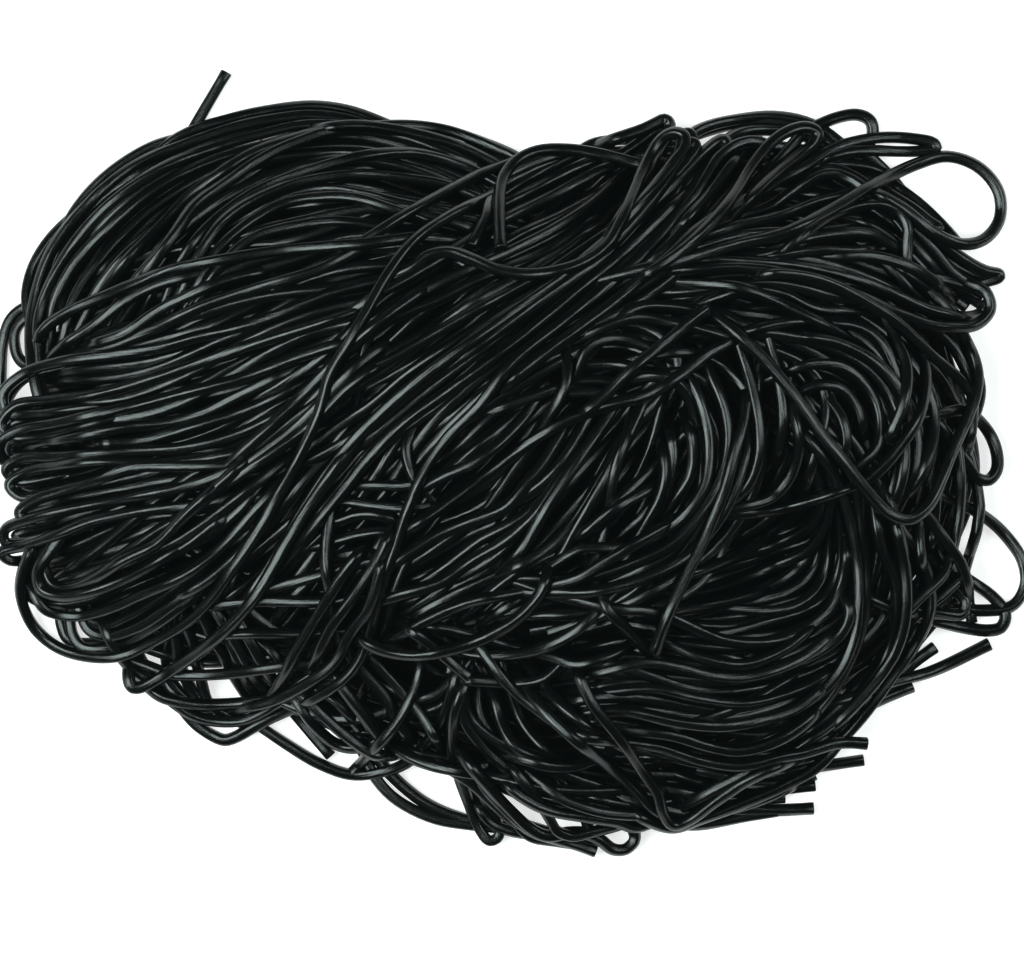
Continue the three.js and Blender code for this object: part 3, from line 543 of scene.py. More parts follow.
# The uppermost laces, which are laid last. Each lies whole on the others, and the cut ends that
# can be seen are theirs.
uppermost = [
    lace((43, 91), (46.4, 97.4), (48.4, 102.4), (48.6, 105.2), (47, 106.2), (44, 104.8),
         (40, 102.8), (35, 101), (28, 98.6), (20, 95), (12, 91)),
    lace((-12.5, 67), (-10, 72), (-8, 76), (-7, 82), cut="start"),
    lace((-3.5, 66), (-4, 78), (-3, 87), (1.4, 92.8), (8, 96), (18, 96.4), (28, 94.9), (36, 93),
         cut="start"),
    lace((-36, 58), (-30, 61), (-27, 64), (-20, 65.5), (-12, 63), (-5, 60), (3, 58.5), (12, 59),
         (22, 62), (30, 68), (33.6, 74.4), (36.6, 81), (39.4, 88), (42.4, 94.6), (45.8, 99.6),
         (49.4, 101.6), (52.8, 100.8), (53.2, 97.6), (49.8, 92.6), (45, 86.4), (39.4, 80)),
    lace((-2, 24), (8, 32), (20, 41), (33, 51), (41, 58), (49, 64.5), (56, 71), (63.5, 76.5),
         (71, 81), (78, 84.6), (84, 88.3), (90.5, 91.5), (95.5, 95), (102, 98.2), (109, 100),
         (116, 100.8), (124, 100.4), (130.6, 99), (131.4, 97.4), (127, 96.6), (119, 96.4),
         (112, 96.6), (104, 96), (96, 93.6)),
    lace((32, 58), (40, 60), (50, 62), (60, 65), (70, 68), (85, 71.5), (100, 79), (112, 86),
         (125, 92.4), (135, 94.9), (144.7, 91.4), (150.7, 83.8), (150.8, 75.2), (146, 69.1),
         (139.2, 67.5), (130, 71), (120, 78.5), (110, 84)),
    lace((72, 80), (80, 88), (88, 94.4), (93.6, 99), (94.4, 102), (91, 103.6), (85, 102.2),
         (79.6, 98.4), (74.6, 92.6), (68.4, 82.4), (61, 73.6), (50, 64), (38, 56)),
    lace((50, -18), (40, -24), (30, -30), (20, -36), (12, -38)),
    lace((12, -31), (9, -40), (2, -48), (-8, -54), (-20, -58), (-30, -59.5), (-40, -58),
         (-48, -54)),
    lace((15, -58), (20, -65), (25, -75), (33, -85), (40, -95), (45, -102), (46.4, -107.4),
         (49.6, -111.6), (55, -109.8), (62, -104.5), (70, -99), (77, -95.5), (86, -92)),
    lace((-118.4, -63.6), (-118.4, -66.6), (-117.4, -69.2), (-115, -69.4), (-110, -67),
         (-100, -60.8), (-90, -53), (-80, -42), (-70, -25), (-62, -12), (-52, 2)),
    lace((-146, -22), (-148.6, -28), (-151, -34), (-151.8, -40), (-150.2, -46.6), (-146.8, -52.2),
         (-140, -57.4), (-130, -60), (-120, -59.5), (-110, -55), (-100, -49), (-93, -42),
         (-86, -32), (-78, -20), (-72, -9), (-66, 2), (-60, 15), (-56, 28), (-50, 38), (-45, 47),
         (-38, 59), (-30, 69), (-20, 76), (-10, 81)),
    lace((63, 35), (61, 34), (52, 27), (42, 21), (30, 18), (15, 12), (5, 6), (-10, -5), (-25, -16),
         (-34, -22)),
    lace((44, -59), (48, -48), (53, -37), (58, -27), (62, -18), (66, -8), (69, 3), (72, 14),
         (73, 24), cut="start"),
    lace((52, 50), (58, 49), (64, 45), (72, 38), (80, 30), (88, 20), (95, 10), (103, 0), (110, -9),
         (117, -16), (123, -17.5), (129, -13), (133, -5), (136, 3), (140.6, 14), (143.4, 25),
         (143, 30), (140, 38)),
    lace((60.5, 48), (52, 41), (42, 33), (35, 27), (28, 20), (20, 14), cut="start"),
]

# The groups of laces, in the order in which they are laid, from the table up. Nothing holds one
# group to the next but their weight.
groups = {
    "lower_rim": lower_rim,
    "upper_rim": upper_rim,
    "jumble": jumble,
    "coil": coil,
    "right_side": right_side,
    "arches": arches,
    "fan": fan,
    "middle": middle,
    "band": band,
    "uppermost": uppermost,
}

# How the laces lie. They are laid one after another over a map of heights. Each rests on what it
# crosses, is stiff enough to bridge small gaps, and runs down to the table past the heap's rim.
# They are soft, so a lace keeps only a share of its height where another one crosses it.
lace_radius = 1.78
thickness_spread = 0.06
kept_height = 0.62
lace_step = 1.25
cell = 0.8
map_reach = np.array([176.0, 138.0])
map_columns = int(2 * map_reach[0] / cell)
map_rows = int(2 * map_reach[1] / cell)
map_x = (np.arange(map_columns) + 0.5) * cell - map_reach[0]
map_y = (np.arange(map_rows) + 0.5) * cell - map_reach[1]
map_places = np.stack(np.meshgrid(map_x, map_y), axis=-1)
cells_across = int(math.ceil(lace_radius * (1 + thickness_spread) / cell)) + 1
near_rows, near_columns = [
    part.ravel() for part in np.mgrid[-cells_across:cells_across + 1, -cells_across:cells_across + 1]
]
draws = np.random.default_rng(1645)


def map_spots(path):
    """The map cells under a path."""
    columns = np.clip(((path[:, 0] + map_reach[0]) / cell).astype(int), 0, map_columns - 1)
    rows = np.clip(((path[:, 1] + map_reach[1]) / cell).astype(int), 0, map_rows - 1)
    return rows, columns


def cells_near(path):
    """The map cells round each point of a path, and how far their middles are from it."""
    columns = np.floor((path[:, 0] + map_reach[0]) / cell).astype(int)[:, None] + near_columns
    rows = np.floor((path[:, 1] + map_reach[1]) / cell).astype(int)[:, None] + near_rows
    columns = np.clip(columns, 0, map_columns - 1)
    rows = np.clip(rows, 0, map_rows - 1)
    away = np.hypot(map_x[columns] - path[:, :1], map_y[rows] - path[:, 1:])
    return rows, columns, away


def even_out(heights, rounds):
    """Evens out the heights along a lace in place, with its two ends held."""
    for _ in range(rounds):
        heights[1:-1] = (heights[:-2] + 2 * heights[1:-1] + heights[2:]) / 4


# A lace is settled a stretch at a time, with a look at what comes next. Its newest points stay
# off the map until it has moved on, so that it rests on its own earlier turns, but not on itself.
stretch_points = 24
look_ahead = 20
newest_points = 4
settling_rounds = 26
evening_rounds = 3


def settle(heights, path, radius, sink):
    """Lays one lace on the map of heights and gives the height of its middle at each point."""
    rows, columns, away = cells_near(path)
    bulge = kept_height * np.sqrt(np.clip(radius**2 - away**2, 0, None))
    touching = away < radius
    middle_height = np.zeros(len(path))
    start = 0
    stamped = 0
    while start < len(path):
        stop = min(start + stretch_points, len(path))
        ahead = min(stop + look_ahead, len(path))
        part = slice(start, ahead)
        below = np.where(touching[part], heights[rows[part], columns[part]] + bulge[part], 0)
        need = np.maximum(below.max(axis=1) - sink[part], radius)
        rest = need.copy()
        before = middle_height[start - 1] if start else need[0]
        for _ in range(settling_rounds):
            wide = np.concatenate(([before, before], rest, [rest[-1], rest[-1]]))
            rest = np.maximum(need, (wide[:-4] + wide[1:-3] + wide[3:-1] + wide[4:]) / 4)
        middle_height[start:stop] = rest[:stop - start]
        last = stop if stop == len(path) else stop - newest_points
        part = slice(stamped, last)
        top = np.where(touching[part], middle_height[part, None] + bulge[part], 0)
        np.maximum.at(heights, (rows[part], columns[part]), top)
        stamped = last
        start = stop
    even_out(middle_height, evening_rounds)
    return middle_height


# A buried end runs on a little past the last point that is seen, and dips under its neighbours.
buried_run = 9.0
dip_depth = 4.6
dip_run = 15.0


def dip(away, run, depth):
    """How far each point is lowered, from the full depth at an end to nothing a run away."""
    share = np.clip(1 - away / run, 0, 1)
    return depth * share**2 * (3 - 2 * share)


def with_buried_ends(path, cut):
    """Runs a path on where its end is buried, and says how deep each point of it dips."""
    extra = int(buried_run / lace_step)
    lead = path[0] + (path[0] - path[2]) / 2 * np.arange(extra, 0, -1)[:, None]
    trail = path[-1] + (path[-1] - path[-3]) / 2 * np.arange(1, extra + 1)[:, None]
    if cut != "start":
        path = np.concatenate((lead, path))
    if cut != "end":
        path = np.concatenate((path, trail))
    along = np.arange(len(path)) * lace_step
    sink = np.zeros(len(path))
    if cut != "start":
        sink += dip(along, dip_run, dip_depth)
    if cut != "end":
        sink += dip(along[-1] - along, dip_run, dip_depth)
    return path, sink


def lay(heights, path, cut=""):
    """Lays a lace along a path seen from above, and gives its line in space and its radius."""
    radius = lace_radius * (1 + thickness_spread * draws.uniform(-1, 1))
    path, sink = with_buried_ends(path, cut)
    middle_height = settle(heights, path, radius, sink)
    return {"line": np.column_stack((path, middle_height)), "radius": radius, "cut": cut}


def softened(grid, reach):
    """A map averaged over about reach millimetres."""
    spread = reach / cell
    taps = np.arange(-int(3 * spread), int(3 * spread) + 1)
    weights = np.exp(-0.5 * (taps / spread) ** 2)
    weights /= weights.sum()
    for axis in (0, 1):
        grid = np.apply_along_axis(np.convolve, axis, grid, weights, mode="same")
    return grid


# The routes are read from a picture taken from straight above, in which what lies higher looks
# larger, so each point is moved in towards the picture's middle by its height.
metre = 1000.0
camera_height = 2.4
camera_middle = (0.0, -0.0053)
mean_height = 0.006


def as_it_lies(path):
    """A path moved from where it is seen to where it lies."""
    height = mound(path, 0.0, heap_height) / metre
    nearer = (camera_height + mean_height - height)[:, None] / camera_height
    middle = np.array(camera_middle) * metre
    return middle + (path - middle) * nearer


paths = {
    name: [as_it_lies(smooth_through(route["points"], lace_step)) for route in routes]
    for name, routes in groups.items()
}
cuts = {name: [route["cut"] for route in routes] for name, routes in groups.items()}

# The heap's middle can't be seen: a core, black with painted shade, stands for the laces packed
# there. It is the heap's own form, drawn in from the rim and let down.
core_inset = 13.0
core_drop = 16.0
full_form = mound(map_places, 0.0, heap_height)
core_form = np.maximum(mound(map_places, core_inset, heap_height) - core_drop, 0)

# The hidden laces follow the flow of those that show above them, but lie lower. The flow is the
# mean direction of a group's laces near a place. A hidden lace is drawn along it from a seed, and
# wanders from side to side a little.
flow_reach = 8.0
seed_reach = 150
seed_spacing = 9.0
seed_shift = 4
longest_run = 150
shortest_lace = 36
least_presence = 0.10
turn_share = 0.16
never_zero = 1e-9
wander_angle = 0.22
wander_waves = (50, 160)


def flow_of(group_paths):
    """Maps of a group's mean direction, as the cosine and sine of twice the angle, and presence."""
    maps = np.zeros((3, map_rows, map_columns))
    for path in group_paths:
        heading = np.gradient(path, axis=0)
        twice = 2 * np.arctan2(heading[:, 1], heading[:, 0])
        spots = map_spots(path)
        np.add.at(maps[0], spots, np.cos(twice))
        np.add.at(maps[1], spots, np.sin(twice))
        np.add.at(maps[2], spots, 1.0)
    return [softened(part, flow_reach) for part in maps]


def drawn_along(flow, seeds, headings, wander, rim_margin):
    """Runs a line from each seed along the flow until it leaves the group or nears the rim."""
    cosines, sines, presence = flow
    place = seeds.copy()
    heading = headings.copy()
    alive = np.ones(len(seeds), bool)
    lines = [[seed] for seed in seeds]
    for stage in range(longest_run):
        spots = map_spots(place)
        angle = 0.5 * np.arctan2(sines[spots], cosines[spots]) + wander[:, stage]
        toward = np.stack((np.cos(angle), np.sin(angle)), axis=1)
        toward *= np.sign((toward * heading).sum(axis=1) + never_zero)[:, None]
        heading = heading + turn_share * (toward - heading)
        heading /= np.linalg.norm(heading, axis=1)[:, None]
        place = place + lace_step * heading
        alive &= presence[spots] > least_presence * presence.max()
        alive &= rim_share(place, rim_margin) < 1
        for index in np.flatnonzero(alive):
            lines[index].append(place[index])
    return lines


def hidden_paths(group_paths, rim_margin):
    """Candidate hidden laces of one group."""
    flow = flow_of(group_paths)
    cosines, sines, presence = flow
    across = np.arange(-seed_reach, seed_reach + 1, seed_spacing)
    seeds = np.stack(np.meshgrid(across, across), axis=-1).reshape(-1, 2)
    seeds = seeds + draws.uniform(-seed_shift, seed_shift, seeds.shape)
    in_group = presence[map_spots(seeds)] > 2 * least_presence * presence.max()
    seeds = seeds[in_group & (rim_share(seeds, rim_margin) < 1)]
    spots = map_spots(seeds)
    angle = 0.5 * np.arctan2(sines[spots], cosines[spots])
    headings = np.stack((np.cos(angle), np.sin(angle)), axis=1)
    along = np.arange(longest_run) * lace_step
    lines = []
    for sign in (1, -1):
        waves = draws.uniform(*wander_waves, (len(seeds), 1))
        phases = draws.uniform(0, math.tau, (len(seeds), 1))
        wander = wander_angle * np.sin(math.tau * along / waves + phases)
        lines.append(drawn_along(flow, seeds, sign * headings, wander, rim_margin))
    joined = [np.array(back[:0:-1] + ahead) for ahead, back in zip(*lines)]
    return [line for line in joined if len(line) > shortest_lace]


# More laces wind round the heap's foot and flank, and fill it up from the table.
usual_reach = 120


def rings_round(insets, wander, least_sweep, most_sweep):
    """Windings round the heap's flank, each a distance in from its rim."""
    windings = []
    for inset in insets:
        start = draws.uniform(0, math.tau)
        sweep = draws.uniform(least_sweep, most_sweep)
        angles = np.linspace(start, start + sweep, int(sweep * usual_reach / lace_step))
        phases = draws.uniform(0, math.tau, 3)
        shifts = sum(np.sin(count * angles + phase) for count, phase in zip((3, 5, 8), phases))
        reach = rim_reach(angles) - inset - wander * (2 + shifts)
        windings.append(heap_heart + reach[:, None] * np.stack((np.cos(angles), np.sin(angles)), axis=1))
    return windings


foot_rings = rings_round(np.arange(1.5, 20, 3.3), wander=0.5, least_sweep=5.9, most_sweep=6.2)
foot_rings += rings_round(np.arange(2.5, 22, 3.3), wander=0.8, least_sweep=5.5, most_sweep=6.2)
windings = rings_round(np.linspace(3, 44, 26), wander=1.6, least_sweep=2.2, most_sweep=5.2)
winding_depth = 2.0
most_windings = 20

# Under each group the hidden laces lie in two layers. A layer has its depth below the form, with
# more below a group that is itself thick, and a greatest number of laces.
layers = ((6.0, 40), (1.5, 18))
group_depth = {
    "lower_rim": 3, "upper_rim": 2, "coil": 3, "arches": 0,
    "right_side": 4, "fan": 0, "middle": 5, "band": 2,
}
hidden_margin = 5.0
least_lack = 1.0
hidden_layers = []
for depth, most in layers:
    for name in group_depth:
        candidates = hidden_paths(paths[name], hidden_margin)
        hidden_layers.append((candidates, group_depth[name] + depth, most))


def fill(bed, candidates, form, most):
    """Lays the candidate that crosses the lowest ground first, until the ground reaches the form."""
    chosen = []
    waiting = [(path, map_spots(path)) for path in candidates]
    while waiting and len(chosen) < most:
        lack = np.array([(form[spots] - bed[spots]).mean() for _, spots in waiting])
        best = int(lack.argmax())
        if lack[best] < least_lack:
            break
        path, _ = waiting.pop(best)
        chosen.append(lay(bed, path))
    return chosen


def heap_up(ground, form):
    """Lays the hidden laces over the ground up to the form, and then those that show."""
    bed = ground.copy()
    hidden = [lay(bed, path) for path in foot_rings]
    hidden += fill(bed, windings, form - winding_depth, most_windings)
    for candidates, depth, most in hidden_layers:
        hidden += fill(bed, candidates, form - depth, most)
    laid = {"hidden": hidden}
    for name in groups:
        laid[name] = [lay(bed, path, cut) for path, cut in zip(paths[name], cuts[name])]
    return laid, bed


# The heap is laid a few times as a trial, to learn how high the laces that show pile up on the
# hidden ones, and each time the core and the hidden laces are set that much lower.
trials = 3
excess_reach = 6.0
surface_allowance = 1.0
first_depth = 3.0
fill_form = full_form - first_depth
for _ in range(trials):
    laid, bed = heap_up(core_form, fill_form)
    excess = softened(bed - full_form, excess_reach) - surface_allowance
    core_form = np.maximum(core_form - np.clip(excess, 0, None), 0)
    fill_form = fill_form - excess
laid, bed = heap_up(core_form, fill_form)


def spread_over(grid, reach, pick):
    """The least or greatest value of a map within a few cells of each place."""
    for axis in (0, 1):
        grid = pick([np.roll(grid, shift, axis) for shift in range(-reach, reach + 1)], axis=0)
    return grid


# Where the laces still pile up higher than the form, the heap's own weight presses them down.
press_reach = 7
press_most = 0.62
press_outset = 10.0
press_slack = 3.5
piled_reach = 4.0
evened_reach = 3.0
pressed_form = mound(map_places, -press_outset, heap_height) + press_slack
piled = softened(spread_over(bed, press_reach, np.max), piled_reach)
press = softened(np.clip(pressed_form / np.maximum(piled, 1.0), press_most, 1), evened_reach)
core_form = core_form * press
bed = bed * press

# A buried end stops where others lie over it, and runs down under the lowest gap round it. Where
# nothing covers it well enough, it stops at its best covered point.
gap_reach = 5
low_ground = spread_over(bed, gap_reach, np.min)
end_run = 14.0
end_margin = 0.4
covered_dip = 1.5
cover_enough = 2.2
cover_least = 1.2
cover_width = 0.85
hidden_search = 60
shown_search = 18
least_points = 10
final_rounds = 8
corner_share = 1.24


def cover_over(line, radius):
    """How much higher the heap's top is than a lace's middle, all across the lace."""
    rows, columns, away = cells_near(line[:, :2])
    return np.where(away < cover_width * radius, bed[rows, columns], np.inf).min(axis=1) - line[:, 2]


def trimmed_end(cover, search):
    """How many points come off a line's far end, so that it stops under cover."""
    search = min(search, len(cover) - least_points)
    if search < 2:
        return 0
    from_end = cover[::-1][:search]
    covered = np.flatnonzero(from_end > cover_enough)
    if len(covered) == 0:
        return int(from_end.argmax()) if from_end.max() > cover_least else 0
    last = covered[0]
    while last + 1 < search and from_end[last + 1] > from_end[last]:
        last += 1
    return int(last)


for name, laces in laid.items():
    search = hidden_search if name == "hidden" else shown_search
    for one in laces:
        line = one["line"]
        line[:, 2] *= press[map_spots(line)]
        cover = cover_over(line, one["radius"])
        if one["cut"] != "end":
            stop = len(line) - trimmed_end(cover, search)
            line, cover = line[:stop], cover[:stop]
        if one["cut"] != "start":
            line = line[trimmed_end(cover[::-1], search):]
        even_out(line[:, 2], final_rounds)
        along = np.arange(len(line)) * lace_step
        for index, away, side in ((0, along, "start"), (-1, along[-1] - along, "end")):
            if one["cut"] == side:
                continue
            spot = map_spots(line[index:][:1])
            lower = max(0.0, line[index, 2] + one["radius"] + end_margin - low_ground[spot][0])
            if cover_over(line, one["radius"])[index] > cover_enough:
                lower = min(lower, covered_dip)
            line[:, 2] -= dip(away, end_run, lower)
        line[:, 2] = np.maximum(line[:, 2], corner_share * one["radius"])
        one["line"] = line

# From line to lace. A lace's section is a square with well rounded corners, from the die it was
# pressed through, and it turns slowly along the lace. Each lace keeps the place of every point
# along its length and round its section, which the streaks of its surface follow.
corner_points = 4
section_points = 4 * corner_points
half_width = 0.96
corner_radius = 0.66
straight_step = 3.4
bend_step = math.radians(15)
end_bevel = 0.35
bevel_girth = 0.9


def section_profile():
    """The section as a closed curve, for a lace of 1 mm radius."""
    profile = bpy.data.curves.new("lace_section", "CURVE")
    profile.dimensions = "2D"
    spline = profile.splines.new("POLY")
    spline.points.add(section_points - 1)
    for index, point in enumerate(spline.points):
        quarter, step_round = divmod(index, corner_points)
        angle = math.pi / 2 * (quarter + step_round / (corner_points - 1))
        corner = math.pi / 2 * quarter + math.pi / 4
        middle = (half_width - corner_radius) * math.sqrt(2)
        across = middle * math.cos(corner) + corner_radius * math.cos(angle)
        up = middle * math.sin(corner) + corner_radius * math.sin(angle)
        point.co = (across / metre, up / metre, 0, 1)
    spline.use_cyclic_u = True
    holder = bpy.data.objects.new("lace_section", profile)
    bpy.context.scene.collection.objects.link(holder)
    return holder


def thinned(line, coarseness):
    """Fewer points on straight runs and more in bends, and one close to each end for its bevel."""
    legs = np.diff(line, axis=0)
    lengths = np.linalg.norm(legs, axis=1)
    along = np.concatenate(([0], np.cumsum(lengths)))
    units = legs / lengths[:, None]
    turns = np.arccos(np.clip((units[1:] * units[:-1]).sum(axis=1), -1, 1))
    turn_at = np.concatenate(([0], turns, [0]))
    costs = lengths / straight_step + (turn_at[1:] + turn_at[:-1]) / 2 / bend_step
    cost = np.concatenate(([0], np.cumsum(costs)))
    spans = max(3, round(cost[-1] / coarseness))
    stops = np.interp(np.linspace(0, cost[-1], spans + 1), cost, along)
    stops = np.concatenate(([0, end_bevel], stops[1:-1], [along[-1] - end_bevel, along[-1]]))
    points = np.stack([np.interp(stops, along, line[:, axis]) for axis in range(3)], axis=1)
    return points, stops


section = section_profile()
section_shape = np.array([point.co[:2] for point in section.data.splines[0].points]) * metre

# A lace is never quite even: its girth and its twist change in slow waves, each with its size and
# its length in millimetres, and a cut end is spread a little by the knife.
girth_waves = ((0.02, 17), (0.015, 6.1))
twist_waves = ((0.5, 24), (0.12, 9))
steady_twist = 0.02
cut_spread = 0.09
cut_spread_run = 1.6
longest_pattern = 5000


def in_waves(stops, waves, phases):
    """How high each wave is at the stops along a lace."""
    return [size * np.sin(stops / length + phase) for (size, length), phase in zip(waves, phases)]


def lace_piece(name, laces, coarseness):
    """One mesh of many laces, each a closed tube."""
    curve = bpy.data.curves.new(name, "CURVE")
    curve.dimensions = "3D"
    curve.bevel_mode = "OBJECT"
    curve.bevel_object = section
    curve.use_fill_caps = False
    drawn = []
    tones = []
    for one in laces:
        points, stops = thinned(one["line"], coarseness)
        count = len(points)
        spline = curve.splines.new("POLY")
        spline.points.add(count - 1)
        spline.points.foreach_set("co", np.column_stack((points / metre, np.ones(count))).ravel())
        slow, fast = in_waves(stops, girth_waves, draws.uniform(0, math.tau, 2))
        girth = 1 + slow + fast
        girth[[0, -1]] *= bevel_girth
        if one["cut"]:
            cut_stop = stops[0 if one["cut"] == "start" else -1]
            girth *= 1 + cut_spread * np.exp(-np.abs(stops - cut_stop) / cut_spread_run)
        spline.points.foreach_set("radius", one["radius"] * girth)
        turn, *phases = draws.uniform(0, math.tau, 3)
        twist = turn + stops * draws.uniform(-steady_twist, steady_twist)
        slow, fast = in_waves(stops, twist_waves, phases)
        twist += slow + fast
        spline.points.foreach_set("tilt", twist)
        offset = draws.uniform(0, longest_pattern)
        ring = np.tile(section_shape * one["radius"], (count, 1))
        drawn.append(np.column_stack((ring, np.repeat(stops + offset, section_points))))
        tones.append(np.full(count * section_points, draws.uniform(0, 1)))
    holder = bpy.data.objects.new(name, curve)
    bpy.context.scene.collection.objects.link(holder)
    shown = holder.evaluated_get(bpy.context.evaluated_depsgraph_get())
    mesh = bpy.data.meshes.new_from_object(shown)
    bpy.data.objects.remove(holder)
    mesh.name = name
    attribute = mesh.attributes.new("drawn", "FLOAT_VECTOR", "POINT")
    attribute.data.foreach_set("vector", np.concatenate(drawn).ravel())
    attribute = mesh.attributes.new("tone", "FLOAT", "POINT")
    attribute.data.foreach_set("value", np.concatenate(tones))
    shape = bmesh.new()
    shape.from_mesh(mesh)
    for face in shape.faces:
        face.smooth = True
    open_edges = [edge for edge in shape.edges if edge.is_boundary]
    caps = bmesh.ops.holes_fill(shape, edges=open_edges, sides=0)["faces"]
    for face in caps:
        face.smooth = False
    bmesh.ops.recalc_face_normals(shape, faces=shape.faces)
    shape.to_mesh(mesh)
    shape.free()
    piece = bpy.data.objects.new(name, mesh)
    bpy.context.scene.collection.objects.link(piece)
    return piece


# Black licorice: near black all through, with an oily satin skin. Fine lengthwise streaks from
# the die and a fine grain break up its gloss, and no two laces are quite as dark.
licorice = bpy.data.materials.new("black_licorice")
licorice.use_nodes = True
nodes = licorice.node_tree.nodes
links = licorice.node_tree.links
skin = nodes["Principled BSDF"]
skin.inputs["Specular IOR Level"].default_value = 0.5
skin.inputs["IOR"].default_value = 1.5

drawn_place = nodes.new("ShaderNodeAttribute")
drawn_place.attribute_name = "drawn"
stretch = nodes.new("ShaderNodeMapping")
stretch.inputs["Scale"].default_value = (1.0, 1.0, 0.06)
links.new(drawn_place.outputs["Vector"], stretch.inputs["Vector"])
streaks = nodes.new("ShaderNodeTexNoise")
streaks.inputs["Scale"].default_value = 2.2
streaks.inputs["Detail"].default_value = 3.0
links.new(stretch.outputs["Vector"], streaks.inputs["Vector"])
grain = nodes.new("ShaderNodeTexNoise")
grain.inputs["Scale"].default_value = 2.6
grain.inputs["Detail"].default_value = 4.0
links.new(drawn_place.outputs["Vector"], grain.inputs["Vector"])

tone = nodes.new("ShaderNodeAttribute")
tone.attribute_name = "tone"
colour = nodes.new("ShaderNodeMix")
colour.data_type = "RGBA"
colour.inputs["A"].default_value = (0.0010, 0.0014, 0.0013, 1)
colour.inputs["B"].default_value = (0.0022, 0.0029, 0.0027, 1)
links.new(tone.outputs["Fac"], colour.inputs["Factor"])
links.new(colour.outputs["Result"], skin.inputs["Base Color"])

rough = nodes.new("ShaderNodeMapRange")
rough.inputs["From Min"].default_value = 0.3
rough.inputs["From Max"].default_value = 0.7
rough.inputs["To Min"].default_value = 0.18
rough.inputs["To Max"].default_value = 0.29
links.new(streaks.outputs["Fac"], rough.inputs["Value"])
links.new(rough.outputs["Result"], skin.inputs["Roughness"])

streak_bump = nodes.new("ShaderNodeBump")
streak_bump.inputs["Strength"].default_value = 0.5
streak_bump.inputs["Distance"].default_value = 0.00022
links.new(streaks.outputs["Fac"], streak_bump.inputs["Height"])
grain_bump = nodes.new("ShaderNodeBump")
grain_bump.inputs["Strength"].default_value = 0.35
grain_bump.inputs["Distance"].default_value = 0.00010
links.new(grain.outputs["Fac"], grain_bump.inputs["Height"])
links.new(streak_bump.outputs["Normal"], grain_bump.inputs["Normal"])
links.new(grain_bump.outputs["Normal"], skin.inputs["Normal"])


def belongs(piece, material):
    """Gives a piece its material, and its place in the part."""
    piece.data.materials.append(material)
    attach(piece, "root")
    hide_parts("licorice_laces")


# The laces of one group are one piece. The hidden ones, which show only through gaps, have
# fewer points and are shared out over several pieces.
most_laces_a_piece = 70
hidden_coarseness = 1.35
for name, laces in laid.items():
    coarseness = hidden_coarseness if name == "hidden" else 1.0
    parts = math.ceil(len(laces) / most_laces_a_piece)
    for number in range(parts):
        piece_name = "laces_" + name + (f"_{number + 1}" if parts > 1 else "")
        belongs(lace_piece(piece_name, laces[number::parts], coarseness), licorice)
bpy.data.objects.remove(section)

# The core, a closed dark mound with a flat foot. It stands for the laces packed in the middle of
# the heap, where hardly any light reaches them, so its black, near glossless skin is painted shade.
core_spokes = 120
core_rings = 40
core_edge = 0.999
core_foot = 0.2
least_core_top = 0.5
level = 1e-4
merge_distance = 1e-7
core_top = softened(core_form, 2.0)
core_mesh = bpy.data.meshes.new("core")
shape = bmesh.new()
bmesh.ops.create_uvsphere(shape, u_segments=core_spokes, v_segments=core_rings, radius=1.0)
for vertex in shape.verts:
    share = min(1.0, math.hypot(vertex.co.x, vertex.co.y))
    angle = math.atan2(vertex.co.y, vertex.co.x)
    reach = (rim_reach(angle) - core_inset) * share * core_edge
    place = heap_heart + reach * np.array([math.cos(angle), math.sin(angle)])
    top = max(least_core_top, float(core_top[map_spots(place[None])][0]))
    height = top if vertex.co.z > level else core_foot
    vertex.co = (place[0] / metre, place[1] / metre, height / metre)
bmesh.ops.remove_doubles(shape, verts=shape.verts, dist=merge_distance)
bmesh.ops.recalc_face_normals(shape, faces=shape.faces)
for face in shape.faces:
    face.smooth = True
shape.to_mesh(core_mesh)
shape.free()
core = bpy.data.objects.new("core", core_mesh)
bpy.context.scene.collection.objects.link(core)

core_painted_shade = bpy.data.materials.new("licorice_core")
core_painted_shade.use_nodes = True
core_nodes = core_painted_shade.node_tree.nodes
core_links = core_painted_shade.node_tree.links
core_skin = core_nodes["Principled BSDF"]
# Near-black base, high roughness and little specular: painted shade for the unlit middle, not the
# licorice's own gloss.
core_skin.inputs["Base Color"].default_value = (0.001, 0.0012, 0.0012, 1)
core_skin.inputs["Roughness"].default_value = 0.9
core_skin.inputs["Specular IOR Level"].default_value = 0.08
core_place = core_nodes.new("ShaderNodeTexCoord")
lumpy = core_nodes.new("ShaderNodeTexNoise")
lumpy.inputs["Scale"].default_value = 260.0
core_links.new(core_place.outputs["Object"], lumpy.inputs["Vector"])
core_bump = core_nodes.new("ShaderNodeBump")
core_bump.inputs["Strength"].default_value = 0.6
core_bump.inputs["Distance"].default_value = 0.001
core_links.new(lumpy.outputs["Fac"], core_bump.inputs["Height"])
core_links.new(core_bump.outputs["Normal"], core_skin.inputs["Normal"])
belongs(core, core_painted_shade)

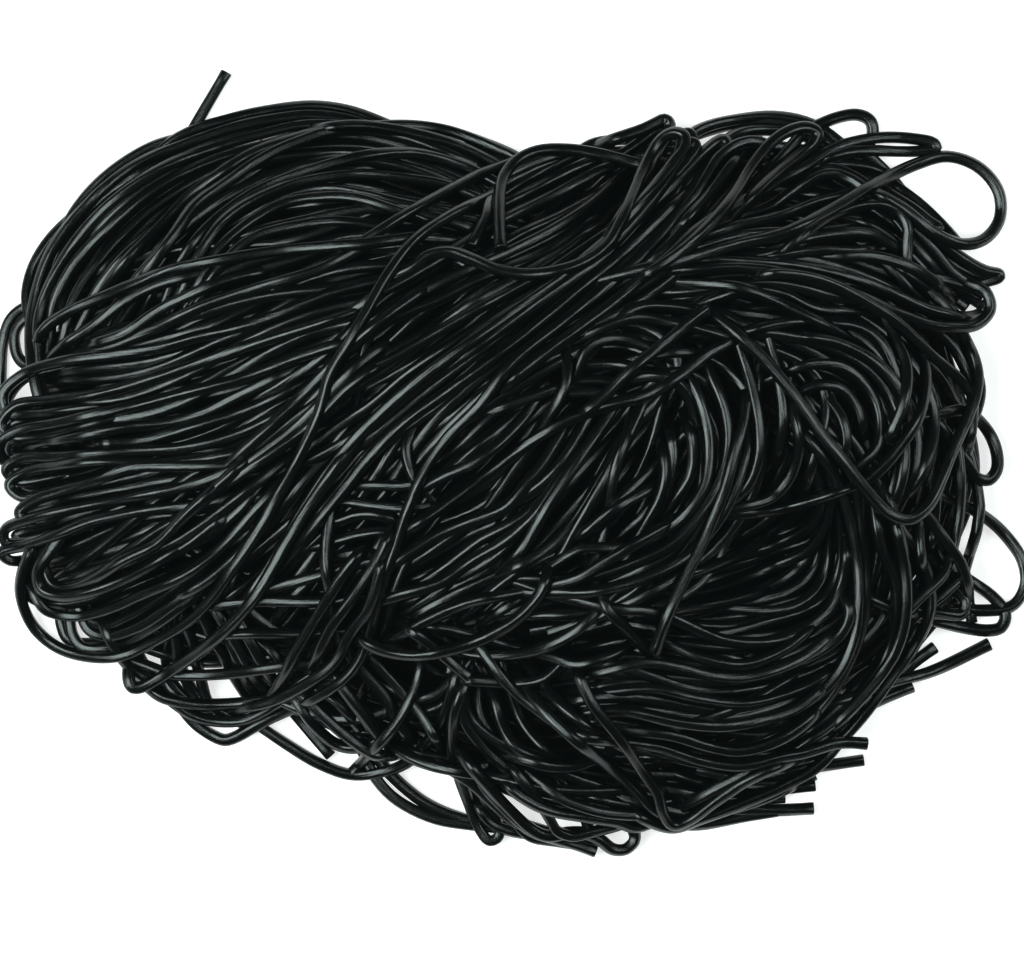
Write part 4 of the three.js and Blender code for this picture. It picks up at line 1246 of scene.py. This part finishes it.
# The table, a plain white sheet that glows a little, so that it stays white under the soft
# lights while the near-black laces are lit enough to show their gloss.
floor_mesh = bpy.data.meshes.new("floor")
shape = bmesh.new()
bmesh.ops.create_grid(shape, x_segments=1, y_segments=1, size=3.0)
shape.to_mesh(floor_mesh)
shape.free()
floor = bpy.data.objects.new("floor", floor_mesh)
bpy.context.scene.collection.objects.link(floor)
table_white = bpy.data.materials.new("white_table")
table_white.use_nodes = True
table_skin = table_white.node_tree.nodes["Principled BSDF"]
table_skin.inputs["Base Color"].default_value = (0.6, 0.6, 0.6, 1)
table_skin.inputs["Emission Color"].default_value = (1, 1, 1, 1)
table_skin.inputs["Emission Strength"].default_value = 0.6
table_skin.inputs["Roughness"].default_value = 0.8
floor.data.materials.append(table_white)

# The light: a large soft one from the left, a smaller one from the right, and next to nothing
# from all round. The view is set a little bright and soft, as in the picture.
view = bpy.context.scene.view_settings
view.view_transform = "Standard"
view.use_curve_mapping = True
view.curve_mapping.black_level = (-0.0030, -0.0042, -0.0040)
view.curve_mapping.update()
view.exposure = 0.26
view.gamma = 0.87
world = bpy.context.scene.world or bpy.data.worlds.new("studio")
bpy.context.scene.world = world
world.use_nodes = True
world.node_tree.nodes["Background"].inputs["Color"].default_value = (0.93, 0.98, 1.0, 1)
world.node_tree.nodes["Background"].inputs["Strength"].default_value = 0.04
light_aim = (0, 0, 0.02)
light_colour = (0.87, 1.0, 0.975)


def soft_light(name, place, size, power):
    """A soft box at a place, turned to the heap."""
    data = bpy.data.lights.new(name, "AREA")
    data.shape = "RECTANGLE"
    data.size, data.size_y = size
    data.energy = power
    data.color = light_colour
    light = bpy.data.objects.new(name, data)
    bpy.context.scene.collection.objects.link(light)
    light.location = place
    aim_line = np.array(light_aim) - np.array(place)
    pitch = math.atan2(math.hypot(aim_line[0], aim_line[1]), -aim_line[2])
    light.rotation_euler = (pitch, 0, math.atan2(-aim_line[0], aim_line[1]))


soft_light("key", (-0.85, -0.10, 1.25), (0.95, 1.15), 25)
soft_light("fill", (0.95, 0.25, 1.15), (0.55, 1.2), 9)

# The camera looks straight down from far off, so that the picture's width is 317 mm at the
# height of the laces.
frame_width = 0.3174
camera_data = bpy.data.cameras.new("camera")
camera_data.sensor_fit = "HORIZONTAL"
camera_data.lens = camera_data.sensor_width * camera_height / frame_width
camera = bpy.data.objects.new("camera", camera_data)
bpy.context.scene.collection.objects.link(camera)
camera.location = (*camera_middle, camera_height + mean_height)
bpy.context.scene.camera = camera
